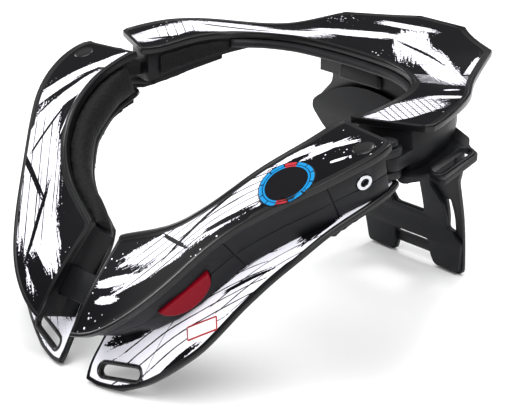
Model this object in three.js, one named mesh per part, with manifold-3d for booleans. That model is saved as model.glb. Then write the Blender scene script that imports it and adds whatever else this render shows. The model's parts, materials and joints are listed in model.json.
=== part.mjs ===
// Motocross neck brace: rigid collar in a rear half and two front arms that swing on side hinges.
// Millimetres, +Z up, front towards -Y, the wearer's left towards +X. The brace stands on the feet
// of its back support and the two tips of its chest plates.
import * as THREE from 'three';
import Module from 'manifold-3d';

const wasm = await Module();
wasm.setup();
const { Manifold, Mesh: SolidMesh } = wasm;

// Overall sizes
const HALF_WIDTH = 133; // middle plane to the widest edge of the rear deck
const REAR_LENGTH = 165.5; // rear deck, front corner to tail
const ARM_REACH = 132; // forward run of the arm curve, hinge end to chest tip
const HINGE_HEIGHT = 142.5; // arm deck over the floor at its hinge end
const TIP_HEIGHT = 0.5; // lowest point of the arm curve over the floor
const ARM_DROP = HINGE_HEIGHT - TIP_HEIGHT; // height the arm curve loses over its run
const HINGE_Y = -127; // hinge end of the arm deck
const CROWN = 10; // rise of the rear deck from the hinge end to the tail
const HINGE_SLOPE = 0.1; // the deck flattens out over the hinge
const ARM_DIP = 6; // how far the arm's inner edge sags beside the front split

// Layers, measured square to the deck
const DECK = 3.5;
const STACK = 25.5; // top of the deck to the top of the lower plate
const PLATE = 3;
const FOAM = 4.5;
const COLLAR = 10; // deck and collar together behind the neck
const GAP = 0.3; // between pieces that rest on each other
const RIM_WIDTH = 2;
const RIM_RISE = 0.5;
const EDGE = 0.8; // softened edges of plates

// Rear strap plates lie in one slanting plane: height = PLANE_BASE + RISE * y - FALL * |x|
const PLANE_LIFT = 15.4; // that plane over the hinge end of the deck, on the middle line
const PLANE_BASE = HINGE_HEIGHT + PLANE_LIFT;
const PLANE_RISE = 0.17;
const PLANE_FALL = 0.18;

const STRAP_SLOT = { length: 29, width: 6 }; // for 25 mm webbing
const HINGE_INSET = 15; // hinge axis inside the widest edge
const HINGE_SETBACK = 10; // hinge axis behind the deck's hinge end
const HINGE = {
  x: HALF_WIDTH - HINGE_INSET, y: HINGE_Y + HINGE_SETBACK, radius: 8, pin: 2, headRadius: 6, headHeight: 3,
};
const HINGE_PLAY = 0.4; // between the ears of the arm and the lug of the rear half
const EAR_HEIGHT = 4;
const LUG_HEIGHT = 7.2;
const EAR_DEPTH = 7.5; // top of the upper ear below the deck
const EAR = { highTop: HINGE_HEIGHT - EAR_DEPTH };
EAR.highBase = EAR.highTop - EAR_HEIGHT;
EAR.lugTop = EAR.highBase - HINGE_PLAY;
EAR.lugBase = EAR.lugTop - LUG_HEIGHT;
EAR.lowTop = EAR.lugBase - HINGE_PLAY;
EAR.lowBase = EAR.lowTop - EAR_HEIGHT;
const LUG_REACH = { x: -8, y: 24 }; // from the hinge axis into the rear half
const EAR_REACH = { x: -1, y: -20 }; // from the hinge axis into the arm
const BUTTON = { length: 35, height: 11.5, depth: 4, proud: 1.6, travel: 1.6, along: 122.5, down: 17.5,
  fit: 0.6 };
const EYELET = { outer: 4.4, bore: 2.4, depth: 2, proud: 0.8, along: 21.8, down: 12 };
const SEAMS = [41, 92]; // shell joints, distance along the arm
const GROOVE = { width: 0.7, depth: 0.7, down: 15 };
const LATCH = { along: 143, length: 17, thickness: 7, seat: 6, reach: 3, swing: 3.4, down: 12 };

// The arm deck's run from the hinge end to the chest tip, as shares of ARM_REACH and ARM_DROP
const ARM_PROFILE = [
  { reach: 0.000, drop: 0.000 },
  { reach: 0.106, drop: 0.033 },
  { reach: 0.205, drop: 0.068 },
  { reach: 0.292, drop: 0.109 },
  { reach: 0.391, drop: 0.164 },
  { reach: 0.470, drop: 0.223 },
  { reach: 0.527, drop: 0.271 },
  { reach: 0.591, drop: 0.335 },
  { reach: 0.663, drop: 0.420 },
  { reach: 0.733, drop: 0.511 },
  { reach: 0.798, drop: 0.595 },
  { reach: 0.844, drop: 0.661 },
  { reach: 0.874, drop: 0.718 },
  { reach: 0.906, drop: 0.785 },
  { reach: 0.939, drop: 0.861 },
  { reach: 1.000, drop: 1.000 },
];

// Arm deck: x as a share of HALF_WIDTH, s as a share of the arm curve's length, dip of ARM_DIP.
// foot: how far the side wall's foot lies inside (+) or outside (-) the deck edge, in millimetres
const ARM_ROWS = [
  { innerX: 0.673, innerS: -0.030, outerX: 0.981, outerS: -0.004, dip: 0.00, foot: 5.5 },
  { innerX: 0.671, innerS: -0.014, outerX: 1.003, outerS: 0.012, dip: 0.00, foot: 5.5 },
  { innerX: 0.668, innerS: 0.018, outerX: 1.011, outerS: 0.040, dip: 0.00, foot: 5.5 },
  { innerX: 0.665, innerS: 0.052, outerX: 1.008, outerS: 0.073, dip: 0.00, foot: 5.5 },
  { innerX: 0.660, innerS: 0.095, outerX: 0.992, outerS: 0.116, dip: 0.00, foot: 5.2 },
  { innerX: 0.648, innerS: 0.133, outerX: 0.959, outerS: 0.174, dip: 0.00, foot: 4.5 },
  { innerX: 0.630, innerS: 0.171, outerX: 0.917, outerS: 0.227, dip: 0.00, foot: 3.0 },
  { innerX: 0.609, innerS: 0.209, outerX: 0.865, outerS: 0.278, dip: 0.00, foot: 1.0 },
  { innerX: 0.589, innerS: 0.243, outerX: 0.806, outerS: 0.328, dip: 0.05, foot: 0.0 },
  { innerX: 0.564, innerS: 0.282, outerX: 0.744, outerS: 0.381, dip: 0.17, foot: -0.8 },
  { innerX: 0.532, innerS: 0.321, outerX: 0.689, outerS: 0.429, dip: 0.30, foot: -1.5 },
  { innerX: 0.495, innerS: 0.359, outerX: 0.639, outerS: 0.480, dip: 0.43, foot: -2.2 },
  { innerX: 0.450, innerS: 0.394, outerX: 0.590, outerS: 0.535, dip: 0.60, foot: -2.6 },
  { innerX: 0.391, innerS: 0.433, outerX: 0.538, outerS: 0.598, dip: 0.80, foot: -2.2 },
  { innerX: 0.316, innerS: 0.467, outerX: 0.470, outerS: 0.667, dip: 0.93, foot: 0.0 },
  { innerX: 0.248, innerS: 0.489, outerX: 0.391, outerS: 0.732, dip: 1.00, foot: 2.5 },
  { innerX: 0.188, innerS: 0.507, outerX: 0.312, outerS: 0.779, dip: 1.00, foot: 3.5 },
  { innerX: 0.139, innerS: 0.522, outerX: 0.236, outerS: 0.811, dip: 1.00, foot: 4.0 },
  { innerX: 0.111, innerS: 0.531, outerX: 0.173, outerS: 0.829, dip: 1.00, foot: 4.5 },
  { innerX: 0.101, innerS: 0.537, outerX: 0.115, outerS: 0.838, dip: 1.00, foot: 4.5 },
];

// Chest plate below the arm, same shares; it runs past the deck to the tip on the chest, where
// it twists: innerLift and outerLift of TIP_TWIST at its two edges
const CHEST_ROWS = [
  { innerX: 0.759, innerS: -0.017, outerX: 0.895, outerS: -0.017, innerLift: 0.00, outerLift: 0.00 },
  { innerX: 0.707, innerS: -0.010, outerX: 0.955, outerS: -0.011, innerLift: 0.00, outerLift: 0.00 },
  { innerX: 0.684, innerS: 0.010, outerX: 0.977, outerS: 0.015, innerLift: 0.00, outerLift: 0.00 },
  { innerX: 0.677, innerS: 0.059, outerX: 0.981, outerS: 0.059, innerLift: 0.00, outerLift: 0.00 },
  { innerX: 0.662, innerS: 0.119, outerX: 0.974, outerS: 0.129, innerLift: 0.00, outerLift: 0.00 },
  { innerX: 0.632, innerS: 0.178, outerX: 0.951, outerS: 0.198, innerLift: 0.00, outerLift: 0.00 },
  { innerX: 0.590, innerS: 0.242, outerX: 0.921, outerS: 0.272, innerLift: 0.00, outerLift: 0.00 },
  { innerX: 0.538, innerS: 0.306, outerX: 0.887, outerS: 0.366, innerLift: 0.00, outerLift: 0.00 },
  { innerX: 0.466, innerS: 0.371, outerX: 0.831, outerS: 0.455, innerLift: 0.00, outerLift: 0.00 },
  { innerX: 0.383, innerS: 0.425, outerX: 0.786, outerS: 0.524, innerLift: 0.00, outerLift: 0.00 },
  { innerX: 0.293, innerS: 0.470, outerX: 0.741, outerS: 0.583, innerLift: 0.00, outerLift: -0.05 },
  { innerX: 0.203, innerS: 0.499, outerX: 0.695, outerS: 0.654, innerLift: 0.00, outerLift: -0.10 },
  { innerX: 0.135, innerS: 0.524, outerX: 0.641, outerS: 0.732, innerLift: 0.00, outerLift: -0.20 },
  { innerX: 0.102, innerS: 0.564, outerX: 0.577, outerS: 0.791, innerLift: 0.00, outerLift: -0.26 },
  { innerX: 0.093, innerS: 0.633, outerX: 0.507, outerS: 0.840, innerLift: 0.00, outerLift: -0.30 },
  { innerX: 0.092, innerS: 0.722, outerX: 0.455, outerS: 0.872, innerLift: 0.00, outerLift: -0.28 },
  { innerX: 0.094, innerS: 0.811, outerX: 0.398, outerS: 0.900, innerLift: 0.00, outerLift: -0.20 },
  { innerX: 0.084, innerS: 0.885, outerX: 0.287, outerS: 0.939, innerLift: 0.65, outerLift: 0.10 },
  { innerX: 0.083, innerS: 0.922, outerX: 0.226, outerS: 0.948, innerLift: 0.80, outerLift: 0.30 },
  { innerX: 0.092, innerS: 0.949, outerX: 0.160, outerS: 0.953, innerLift: 0.88, outerLift: 0.60 },
];
const TIP_TWIST = 5;
const CHEST_SLOT = { x: 0.255, s: 0.893, turn: 0.23 }; // slot centre, and its slant in radians
// Rows the foam under the chest plate reaches, at the plate's inner and outer edge
const CHEST_FOAM = { fromRow: 2, innerRow: 8, outerRow: 5.6, steps: 6, inset: 2.5 };

// Rear deck from its front edge to the middle plane: x of HALF_WIDTH, y of REAR_LENGTH, rise of
// CROWN. inset and eave: millimetres from the inner and outer deck edge to the core's walls
const REAR_ROWS = [
  { innerX: 0.680, innerY: -0.707, innerRise: 0.17, outerX: 0.981, outerY: -0.613, outerRise: 0.27, inset: 6, eave: 14 },
  { innerX: 0.674, innerY: -0.677, innerRise: 0.11, outerX: 0.998, outerY: -0.589, outerRise: 0.30, inset: 2, eave: 13 },
  { innerX: 0.669, innerY: -0.628, innerRise: 0.07, outerX: 0.992, outerY: -0.550, outerRise: 0.37, inset: 2, eave: 11 },
  { innerX: 0.665, innerY: -0.562, innerRise: 0.19, outerX: 0.974, outerY: -0.503, outerRise: 0.49, inset: 2, eave: 9.5 },
  { innerX: 0.653, innerY: -0.483, innerRise: 0.34, outerX: 0.944, outerY: -0.429, outerRise: 0.61, inset: 2, eave: 8 },
  { innerX: 0.628, innerY: -0.417, innerRise: 0.43, outerX: 0.895, outerY: -0.352, outerRise: 0.61, inset: 2, eave: 7 },
  { innerX: 0.583, innerY: -0.353, innerRise: 0.46, outerX: 0.827, outerY: -0.272, outerRise: 0.51, inset: 3, eave: 8 },
  { innerX: 0.526, innerY: -0.305, innerRise: 0.48, outerX: 0.737, outerY: -0.190, outerRise: 0.31, inset: 4, eave: 12 },
  { innerX: 0.451, innerY: -0.266, innerRise: 0.50, outerX: 0.647, outerY: -0.103, outerRise: 0.17, inset: 4, eave: 18 },
  { innerX: 0.368, innerY: -0.240, innerRise: 0.53, outerX: 0.583, outerY: -0.030, outerRise: 0.19, inset: 4, eave: 24 },
  { innerX: 0.301, innerY: -0.227, innerRise: 0.55, outerX: 0.525, outerY: 0.054, outerRise: 0.47, inset: 4, eave: 27 },
  { innerX: 0.248, innerY: -0.220, innerRise: 0.55, outerX: 0.468, outerY: 0.142, outerRise: 0.75, inset: 4, eave: 30 },
  { innerX: 0.188, innerY: -0.215, innerRise: 0.55, outerX: 0.361, outerY: 0.175, outerRise: 0.83, inset: 4, eave: 32 },
  { innerX: 0.135, innerY: -0.212, innerRise: 0.55, outerX: 0.267, outerY: 0.215, outerRise: 0.87, inset: 4, eave: 34 },
  { innerX: 0.090, innerY: -0.210, innerRise: 0.55, outerX: 0.195, outerY: 0.253, outerRise: 0.90, inset: 4, eave: 36 },
  { innerX: 0.060, innerY: -0.209, innerRise: 0.55, outerX: 0.142, outerY: 0.286, outerRise: 0.92, inset: 4, eave: 38 },
  { innerX: 0.000, innerY: -0.208, innerRise: 0.55, outerX: 0.000, outerY: 0.286, outerRise: 0.92, inset: 4, eave: 38 },
];
const LIP = { fromRow: 6, bulge: 3, height: 7 }; // rolled collar edge behind the neck
const REAR_PAD = { fromRow: 2, toRow: 6, thickness: 2 };

// Rear strap plate outline in plan, x of HALF_WIDTH and y of REAR_LENGTH, with its corner radii
const STRAP_PLATE = [
  { x: 0.700, y: -0.640, round: 3 },
  { x: 0.915, y: -0.658, round: 5 },
  { x: 0.952, y: -0.620, round: 3 },
  { x: 0.962, y: -0.580, round: 2 },
  { x: 1.040, y: -0.578, round: 3 },
  { x: 1.000, y: -0.381, round: 3 },
  { x: 0.930, y: -0.369, round: 3 },
  { x: 0.895, y: -0.335, round: 2 },
  { x: 0.790, y: -0.318, round: 2 },
  { x: 0.640, y: -0.350, round: 3 },
  { x: 0.672, y: -0.470, round: 12 },
];
const STRAP_HOLE = { x: 0.960, y: -0.474, turn: 1.69 };
const STRAP_FOAM = [
  { x: 0.800, y: -0.625, round: 3 },
  { x: 0.905, y: -0.646, round: 5 },
  { x: 0.925, y: -0.560, round: 4 },
  { x: 0.850, y: -0.375, round: 3 },
  { x: 0.780, y: -0.372, round: 3 },
  { x: 0.760, y: -0.470, round: 12 },
];

// Back support: a bent sheet. Its run from top to floor: height of BACK_HEIGHT, back of BACK_RUN
const BACK_DROP = 9.5; // top of the run below the deck
const BACK_HEIGHT = HINGE_HEIGHT - BACK_DROP;
const BACK_TOP_Y = -18.5;
const BACK_RUN = 49; // how far the feet stand behind the top
const BACK_PROFILE = [
  { height: 1.000, back: 0.000 },
  { height: 0.917, back: 0.082 },
  { height: 0.812, back: 0.204 },
  { height: 0.692, back: 0.347 },
  { height: 0.574, back: 0.482 },
  { height: 0.488, back: 0.606 },
  { height: 0.374, back: 0.767 },
  { height: 0.299, back: 0.861 },
  { height: 0.226, back: 0.918 },
  { height: 0.164, back: 0.947 },
  { height: 0.086, back: 0.976 },
  { height: 0.000, back: 1.000 },
];
const BACK_HALF = 66; // half width at the shoulders of the back support
const BACK_SHEET = 2.4;
const BACK_CUSHION = 2.8;
// Half outlines from the top down: x of BACK_HALF, z of BACK_HEIGHT, round in millimetres
const BACK_PLATE = [
  { x: 0.490, z: 0.985, round: 1 },
  { x: 0.475, z: 0.938, round: 2 },
  { x: 0.535, z: 0.880, round: 4 },
  { x: 0.795, z: 0.780, round: 4 },
  { x: 0.985, z: 0.694, round: 1.5 },
  { x: 0.880, z: 0.575, round: 6 },
  { x: 0.800, z: 0.520, round: 6 },
  { x: 0.655, z: 0.285, round: 12 },
  { x: 0.612, z: 0.000, round: 4 },
  { x: 0.275, z: 0.000, round: 3 },
  { x: 0.235, z: 0.059, round: 2 },
];
const BACK_PAD = [
  { x: 0.000, z: 0.906, round: 0 },
  { x: 0.220, z: 0.897, round: 8 },
  { x: 0.510, z: 0.847, round: 8 },
  { x: 0.730, z: 0.796, round: 6 },
  { x: 0.870, z: 0.752, round: 4 },
  { x: 0.925, z: 0.700, round: 3 },
  { x: 0.830, z: 0.590, round: 6 },
  { x: 0.500, z: 0.520, round: 6 },
  { x: 0.445, z: 0.475, round: 3 },
  { x: 0.515, z: 0.368, round: 2 },
  { x: 0.473, z: 0.232, round: 2 },
  { x: 0.640, z: 0.168, round: 3 },
  { x: 0.600, z: 0.014, round: 3 },
  { x: 0.290, z: 0.014, round: 3 },
  { x: 0.240, z: 0.060, round: 3 },
  { x: 0.225, z: 0.136, round: 2 },
  { x: 0.000, z: 0.136, round: 0 },
];
// Openings of the back support: corners or centre and size, as shares of the same two sizes
const BACK_WINDOW = [
  { x: -0.200, z: 0.274, round: 3 },
  { x: 0.200, z: 0.274, round: 3 },
  { x: 0.330, z: 0.500, round: 6 },
  { x: -0.330, z: 0.500, round: 6 },
];
const BACK_SLIT = [
  { x: -0.235, z: 0.109, round: 1.5 },
  { x: 0.235, z: 0.109, round: 1.5 },
  { x: 0.235, z: 0.152, round: 1.5 },
  { x: -0.235, z: 0.152, round: 1.5 },
];
const BACK_SIDE_SLOT = [
  { x: 0.462, z: 0.227, round: 2 },
  { x: 0.559, z: 0.211, round: 2 },
  { x: 0.609, z: 0.404, round: 2 },
  { x: 0.541, z: 0.392, round: 2 },
];
// The rear half holds the sheet's top edge in a socket
const SOCKET = { halfWidth: 36, wall: 2, lip: 3.3, depth: 14.8, grip: 7 };

const part = (geometry, name, color, roughness = 0.6, metalness = 0) => {
  const material = new THREE.MeshStandardMaterial({ color, roughness, metalness });
  const mesh = new THREE.Mesh(geometry, material);
  mesh.name = name;
  return mesh;
};

// Solids from rings: every ring has the same number of points, the two ends are capped
function capTriangles(ring) {
  const normal = new THREE.Vector3();
  ring.forEach((p, i) => {
    const q = ring[(i + 1) % ring.length];
    normal.add(new THREE.Vector3().crossVectors(p, q));
  });
  normal.normalize();
  const u = new THREE.Vector3().subVectors(ring[Math.floor(ring.length / 3)], ring[0]).normalize();
  u.addScaledVector(normal, -u.dot(normal)).normalize();
  const v = new THREE.Vector3().crossVectors(normal, u);
  const flat = ring.map((p) => new THREE.Vector2(p.dot(u), p.dot(v)));
  return THREE.ShapeUtils.triangulateShape(flat, []).map(([a, b, c]) => {
    const area = (flat[b].x - flat[a].x) * (flat[c].y - flat[a].y)
      - (flat[c].x - flat[a].x) * (flat[b].y - flat[a].y);
    return area > 0 ? [a, b, c] : [a, c, b];
  });
}

function loft(rings) {
  const count = rings[0].length;
  const positions = rings.flatMap((ring) => ring.flatMap((p) => [p.x, p.y, p.z]));
  const index = [];
  for (let i = 0; i < rings.length - 1; i += 1) {
    for (let j = 0; j < count; j += 1) {
      const a = i * count + j;
      const b = i * count + ((j + 1) % count);
      index.push(a, b, b + count, a, b + count, a + count);
    }
  }
  const last = (rings.length - 1) * count;
  capTriangles(rings[0]).forEach(([a, b, c]) => index.push(a, c, b));
  capTriangles(rings[rings.length - 1]).forEach(([a, b, c]) => index.push(last + a, last + b, last + c));
  const geometry = new THREE.BufferGeometry();
  geometry.setAttribute('position', new THREE.Float32BufferAttribute(positions, 3));
  geometry.setIndex(index);
  return outward(geometry);
}

function signedVolume(geometry) {
  const p = geometry.attributes.position;
  const { array } = geometry.index;
  const [a, b, c] = [new THREE.Vector3(), new THREE.Vector3(), new THREE.Vector3()];
  let volume = 0;
  for (let i = 0; i < array.length; i += 3) {
    a.fromBufferAttribute(p, array[i]);
    b.fromBufferAttribute(p, array[i + 1]);
    c.fromBufferAttribute(p, array[i + 2]);
    volume += a.dot(b.cross(c)) / 6;
  }
  return volume;
}

function flipped(geometry) {
  const { array } = geometry.index;
  for (let i = 0; i < array.length; i += 3) [array[i], array[i + 1]] = [array[i + 1], array[i]];
  return geometry;
}

const outward = (geometry) => (signedVolume(geometry) < 0 ? flipped(geometry) : geometry);

function mirrored(geometry) {
  const copy = geometry.clone();
  const p = copy.attributes.position;
  for (let i = 0; i < p.count; i += 1) p.setX(i, -p.getX(i));
  return flipped(copy);
}

// Welds equal positions and drops everything else, so a mesh can go through a cut
function welded(source) {
  const geometry = source.index ? source.toNonIndexed() : source;
  const p = geometry.attributes.position;
  const seen = new Map();
  const positions = [];
  const index = [];
  for (let i = 0; i < p.count; i += 1) {
    const xyz = [p.getX(i), p.getY(i), p.getZ(i)];
    const key = xyz.map((value) => Math.round(value * 1e4)).join(',');
    if (!seen.has(key)) {
      seen.set(key, positions.length / 3);
      positions.push(...xyz);
    }
    index.push(seen.get(key));
  }
  const kept = [];
  for (let i = 0; i < index.length; i += 3) {
    const [a, b, c] = index.slice(i, i + 3);
    if (a !== b && b !== c && a !== c) kept.push(a, b, c);
  }
  const result = new THREE.BufferGeometry();
  result.setAttribute('position', new THREE.Float32BufferAttribute(positions, 3));
  result.setIndex(kept);
  return result;
}

function solid(geometry) {
  const clean = welded(geometry);
  return new Manifold(new SolidMesh({
    numProp: 3,
    vertProperties: new Float32Array(clean.attributes.position.array),
    triVerts: new Uint32Array(clean.index.array),
  }));
}

function toGeometry(manifold) {
  const mesh = manifold.getMesh();
  const geometry = new THREE.BufferGeometry();
  geometry.setAttribute('position', new THREE.BufferAttribute(new Float32Array(mesh.vertProperties), 3));
  geometry.setIndex(new THREE.BufferAttribute(new Uint32Array(mesh.triVerts), 1));
  return geometry;
}

const cut = (geometry, ...tools) => toGeometry(
  tools.reduce((body, tool) => body.subtract(solid(tool)), solid(geometry)),
);
const fuse = (geometry, ...others) => toGeometry(
  others.reduce((body, other) => body.add(solid(other)), solid(geometry)),
);
const common = (geometry, other) => toGeometry(solid(geometry).intersect(solid(other)));

// Closed outline with rounded corners; a corner is { x, y, round }
function roundedShape(corners, steps = 4) {
  const shape = [];
  corners.forEach((corner, i) => {
    const before = corners[(i + corners.length - 1) % corners.length];
    const after = corners[(i + 1) % corners.length];
    const here = new THREE.Vector2(corner.x, corner.y);
    const toBefore = new THREE.Vector2(before.x, before.y).sub(here);
    const toAfter = new THREE.Vector2(after.x, after.y).sub(here);
    const reach = Math.min(corner.round, toBefore.length() * 0.45, toAfter.length() * 0.45);
    if (reach < 0.05) {
      shape.push(here);
      return;
    }
    const start = here.clone().addScaledVector(toBefore.normalize(), reach);
    const end = here.clone().addScaledVector(toAfter.normalize(), reach);
    const curve = new THREE.QuadraticBezierCurve(start, here, end);
    shape.push(...curve.getPoints(steps));
  });
  return new THREE.Shape(shape);
}

// Outline extruded along +Z from z = from to z = to
function extruded(shape, from, to) {
  const geometry = new THREE.ExtrudeGeometry(shape, { depth: to - from, bevelEnabled: false, steps: 1 });
  geometry.translate(0, 0, from);
  return geometry;
}

function box(x0, x1, y0, y1, z0, z1) {
  const geometry = new THREE.BoxGeometry(x1 - x0, y1 - y0, z1 - z0);
  geometry.translate((x0 + x1) / 2, (y0 + y1) / 2, (z0 + z1) / 2);
  return geometry;
}

function stadium(length, width, steps = 6) {
  const r = width / 2;
  const half = length / 2 - r;
  const points = [];
  for (let i = 0; i <= steps; i += 1) {
    const a = -Math.PI / 2 + (Math.PI * i) / steps;
    points.push(new THREE.Vector2(half + r * Math.cos(a), r * Math.sin(a)));
  }
  for (let i = 0; i <= steps; i += 1) {
    const a = Math.PI / 2 + (Math.PI * i) / steps;
    points.push(new THREE.Vector2(-half + r * Math.cos(a), r * Math.sin(a)));
  }
  return new THREE.Shape(points);
}

// Axes at a place: z along the outward direction, x along the given direction
function placement(origin, along, out) {
  const z = out.clone().normalize();
  const x = along.clone().addScaledVector(z, -along.dot(z)).normalize();
  const y = new THREE.Vector3().crossVectors(z, x);
  return new THREE.Matrix4().makeBasis(x, y, z).setPosition(origin);
}

// The arm's surfaces: s along the curve, x across, h square to the deck (0 on top of it)
const armCurve = new THREE.CatmullRomCurve3(ARM_PROFILE.map((row) => new THREE.Vector3(
  0, HINGE_Y - row.reach * ARM_REACH, HINGE_HEIGHT - row.drop * ARM_DROP,
)), false, 'centripetal');
armCurve.arcLengthDivisions = 400;
const ARM_LENGTH = armCurve.getLength();

function armPoint(x, s, h) {
  const inside = THREE.MathUtils.clamp(s / ARM_LENGTH, 0, 1);
  const point = armCurve.getPointAt(inside);
  const tangent = armCurve.getTangentAt(inside);
  const beyond = s - inside * ARM_LENGTH;
  if (beyond < 0) point.add(new THREE.Vector3(0, -beyond, -beyond * HINGE_SLOPE));
  else point.addScaledVector(tangent, beyond);
  return new THREE.Vector3(x, point.y - h * -tangent.z, point.z + h * -tangent.y);
}

// Rows between the table's rows, so the plan outline is smooth
function refined(rows, between, sharp = []) {
  const keys = Object.keys(rows[0]);
  const result = [];
  for (let i = 0; i < rows.length - 1; i += 1) {
    const at = (k) => rows[Math.min(Math.max(k, 0), rows.length - 1)];
    for (let step = 0; step < between; step += 1) {
      const t = step / between;
      const row = {};
      keys.forEach((key) => {
        const [a, b, c, d] = [at(i - 1)[key], at(i)[key], at(i + 1)[key], at(i + 2)[key]];
        const before = sharp.includes(i) ? b - (c - b) : a;
        const after = sharp.includes(i + 1) ? c + (c - b) : d;
        row[key] = 0.5 * (2 * b + (c - before) * t + (2 * before - 5 * b + 4 * c - after) * t * t
          + (-before + 3 * b - 3 * c + after) * t * t * t);
      });
      result.push(row);
    }
  }
  result.push({ ...rows[rows.length - 1] });
  return result;
}

// Point of an arm row: d millimetres from the inner edge towards the outer one, h above the deck
function armRowPoint(row, d, h, dipped = false) {
  const inner = { x: row.innerX * HALF_WIDTH, s: row.innerS * ARM_LENGTH };
  const outer = { x: row.outerX * HALF_WIDTH, s: row.outerS * ARM_LENGTH };
  const width = Math.hypot(outer.x - inner.x, outer.s - inner.s);
  const w = d / width;
  const sag = dipped ? ARM_DIP * row.dip * (1 - THREE.MathUtils.clamp(w, 0, 1)) : 0;
  return armPoint(
    THREE.MathUtils.lerp(inner.x, outer.x, w),
    THREE.MathUtils.lerp(inner.s, outer.s, w),
    h - sag,
  );
}

function armRowWidth(row) {
  return Math.hypot((row.outerX - row.innerX) * HALF_WIDTH, (row.outerS - row.innerS) * ARM_LENGTH);
}

// Profile of a plate with softened edges and a raised rim; w runs across, h square to it
function rimmedSection(width, thickness) {
  const field = [0.33, 0.67].map((share) => [width * share, 0]);
  return [
    [0, -EDGE], [EDGE * 0.6, RIM_RISE], [RIM_WIDTH, RIM_RISE], [RIM_WIDTH + 0.4, 0],
    ...field,
    [width - RIM_WIDTH - 0.4, 0], [width - RIM_WIDTH, RIM_RISE], [width - EDGE * 0.6, RIM_RISE],
    [width, -EDGE], [width - 0.3, -thickness],
    ...field.map(([w]) => [w, -thickness]).reverse(),
    [0.3, -thickness],
  ];
}

function plainSection(width, inset, thickness) {
  const [a, b] = [inset, width - inset];
  const field = [0.3, 0.7].map((share) => [THREE.MathUtils.lerp(a, b, share), 0]);
  return [
    [a, -EDGE], [a + EDGE, 0], ...field, [b - EDGE, 0], [b, -EDGE], [b, -thickness + EDGE / 2],
    [b - EDGE / 2, -thickness], ...field.map(([w]) => [w, -thickness]).reverse(),
    [a + EDGE / 2, -thickness], [a, -thickness + EDGE / 2],
  ];
}

const armRows = refined(ARM_ROWS, 1);

function armDeck() {
  return loft(armRows.map((row) => rimmedSection(armRowWidth(row), DECK)
    .map(([w, h]) => armRowPoint(row, w, h, true))));
}

// Row of the arm at a distance along its outer edge
function armRowAt(distance) {
  const s = distance / ARM_LENGTH;
  const i = Math.max(0, ARM_ROWS.findIndex((row) => row.outerS > s) - 1);
  const [a, b] = [ARM_ROWS[i], ARM_ROWS[i + 1]];
  const t = (s - a.outerS) / (b.outerS - a.outerS);
  return Object.fromEntries(Object.keys(a).map((key) => [key, THREE.MathUtils.lerp(a[key], b[key], t)]));
}

const CORE_TOP = -(DECK + GAP);
const CORE_BASE = -(STACK - GAP);
const CORE_START = 7; // the core ends short of the deck at the hinge
const WALL_INSET = 2;
const CORE_INSET = 2.5;

// Distance of the arm's side wall from the inner edge at a depth below the deck
function wallAt(row, h) {
  const share = (h - CORE_TOP) / (CORE_BASE - CORE_TOP);
  return armRowWidth(row) - THREE.MathUtils.lerp(WALL_INSET, row.foot, share);
}

function armCoreSection(row, notch) {
  const outer = (h, depth) => [wallAt(row, h) - depth, h];
  const width = armRowWidth(row);
  const field = [0.3, 0.65].map((share) => width * share);
  const half = GROOVE.width / 2;
  const groove = -GROOVE.down;
  const wall = [
    outer(CORE_TOP, notch), outer(groove + half, notch),
    outer(groove, Math.max(notch, GROOVE.depth)), outer(groove - half, notch), outer(CORE_BASE, notch),
  ];
  return [
    [CORE_INSET, CORE_TOP], ...field.map((w) => [w, CORE_TOP]), ...wall,
    ...field.map((w) => [w, CORE_BASE]).reverse(), [CORE_INSET, CORE_BASE],
  ];
}

function armCore() {
  const start = armRowAt(CORE_START);
  const end = { ...ARM_ROWS[ARM_ROWS.length - 1] };
  const rows = [{ row: start, notch: 0 }];
  ARM_ROWS.slice(0, -1).filter((row) => row.outerS > start.outerS + 0.005)
    .forEach((row) => rows.push({ row, notch: 0 }));
  rows.push({ row: end, notch: 0 });
  SEAMS.forEach((seam) => {
    [[-0.5, 0], [-0.2, GROOVE.depth], [0.2, GROOVE.depth], [0.5, 0]].forEach(([step, notch]) => {
      rows.push({ row: armRowAt(seam + step), notch });
    });
  });
  rows.sort((a, b) => a.row.outerS - b.row.outerS);
  // the dip only shapes the top, so the foot of the core stays on the chest plate
  return loft(rows.map(({ row, notch }) => armCoreSection(row, notch)
    .map(([w, h]) => armRowPoint(row, w, h, h > CORE_BASE / 2))));
}

// Place on the arm's side wall: distance along the arm and depth below the deck
function wallPlace(distance, depth) {
  const row = armRowAt(distance);
  const at = (r, h) => armRowPoint(r, wallAt(r, h), h, true);
  const origin = at(row, -depth);
  const along = at(armRowAt(distance + 2), -depth).sub(at(armRowAt(distance - 2), -depth));
  const up = at(row, -depth + 2).sub(at(row, -depth - 2));
  const out = new THREE.Vector3().crossVectors(up, along);
  if (out.x < 0) out.negate();
  return { origin, along, out };
}

// Point of the chest plate's rows, with the twist of its tip
function chestPoint(row, w, h) {
  const lift = THREE.MathUtils.lerp(row.innerLift, row.outerLift, w / armRowWidth(row)) * TIP_TWIST;
  return armRowPoint(row, w, h + lift);
}

function rowBetween(rows, place) {
  const i = Math.min(Math.floor(place), rows.length - 2);
  return Object.fromEntries(Object.keys(rows[0]).map(
    (key) => [key, THREE.MathUtils.lerp(rows[i][key], rows[i + 1][key], place - i)],
  ));
}

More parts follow.
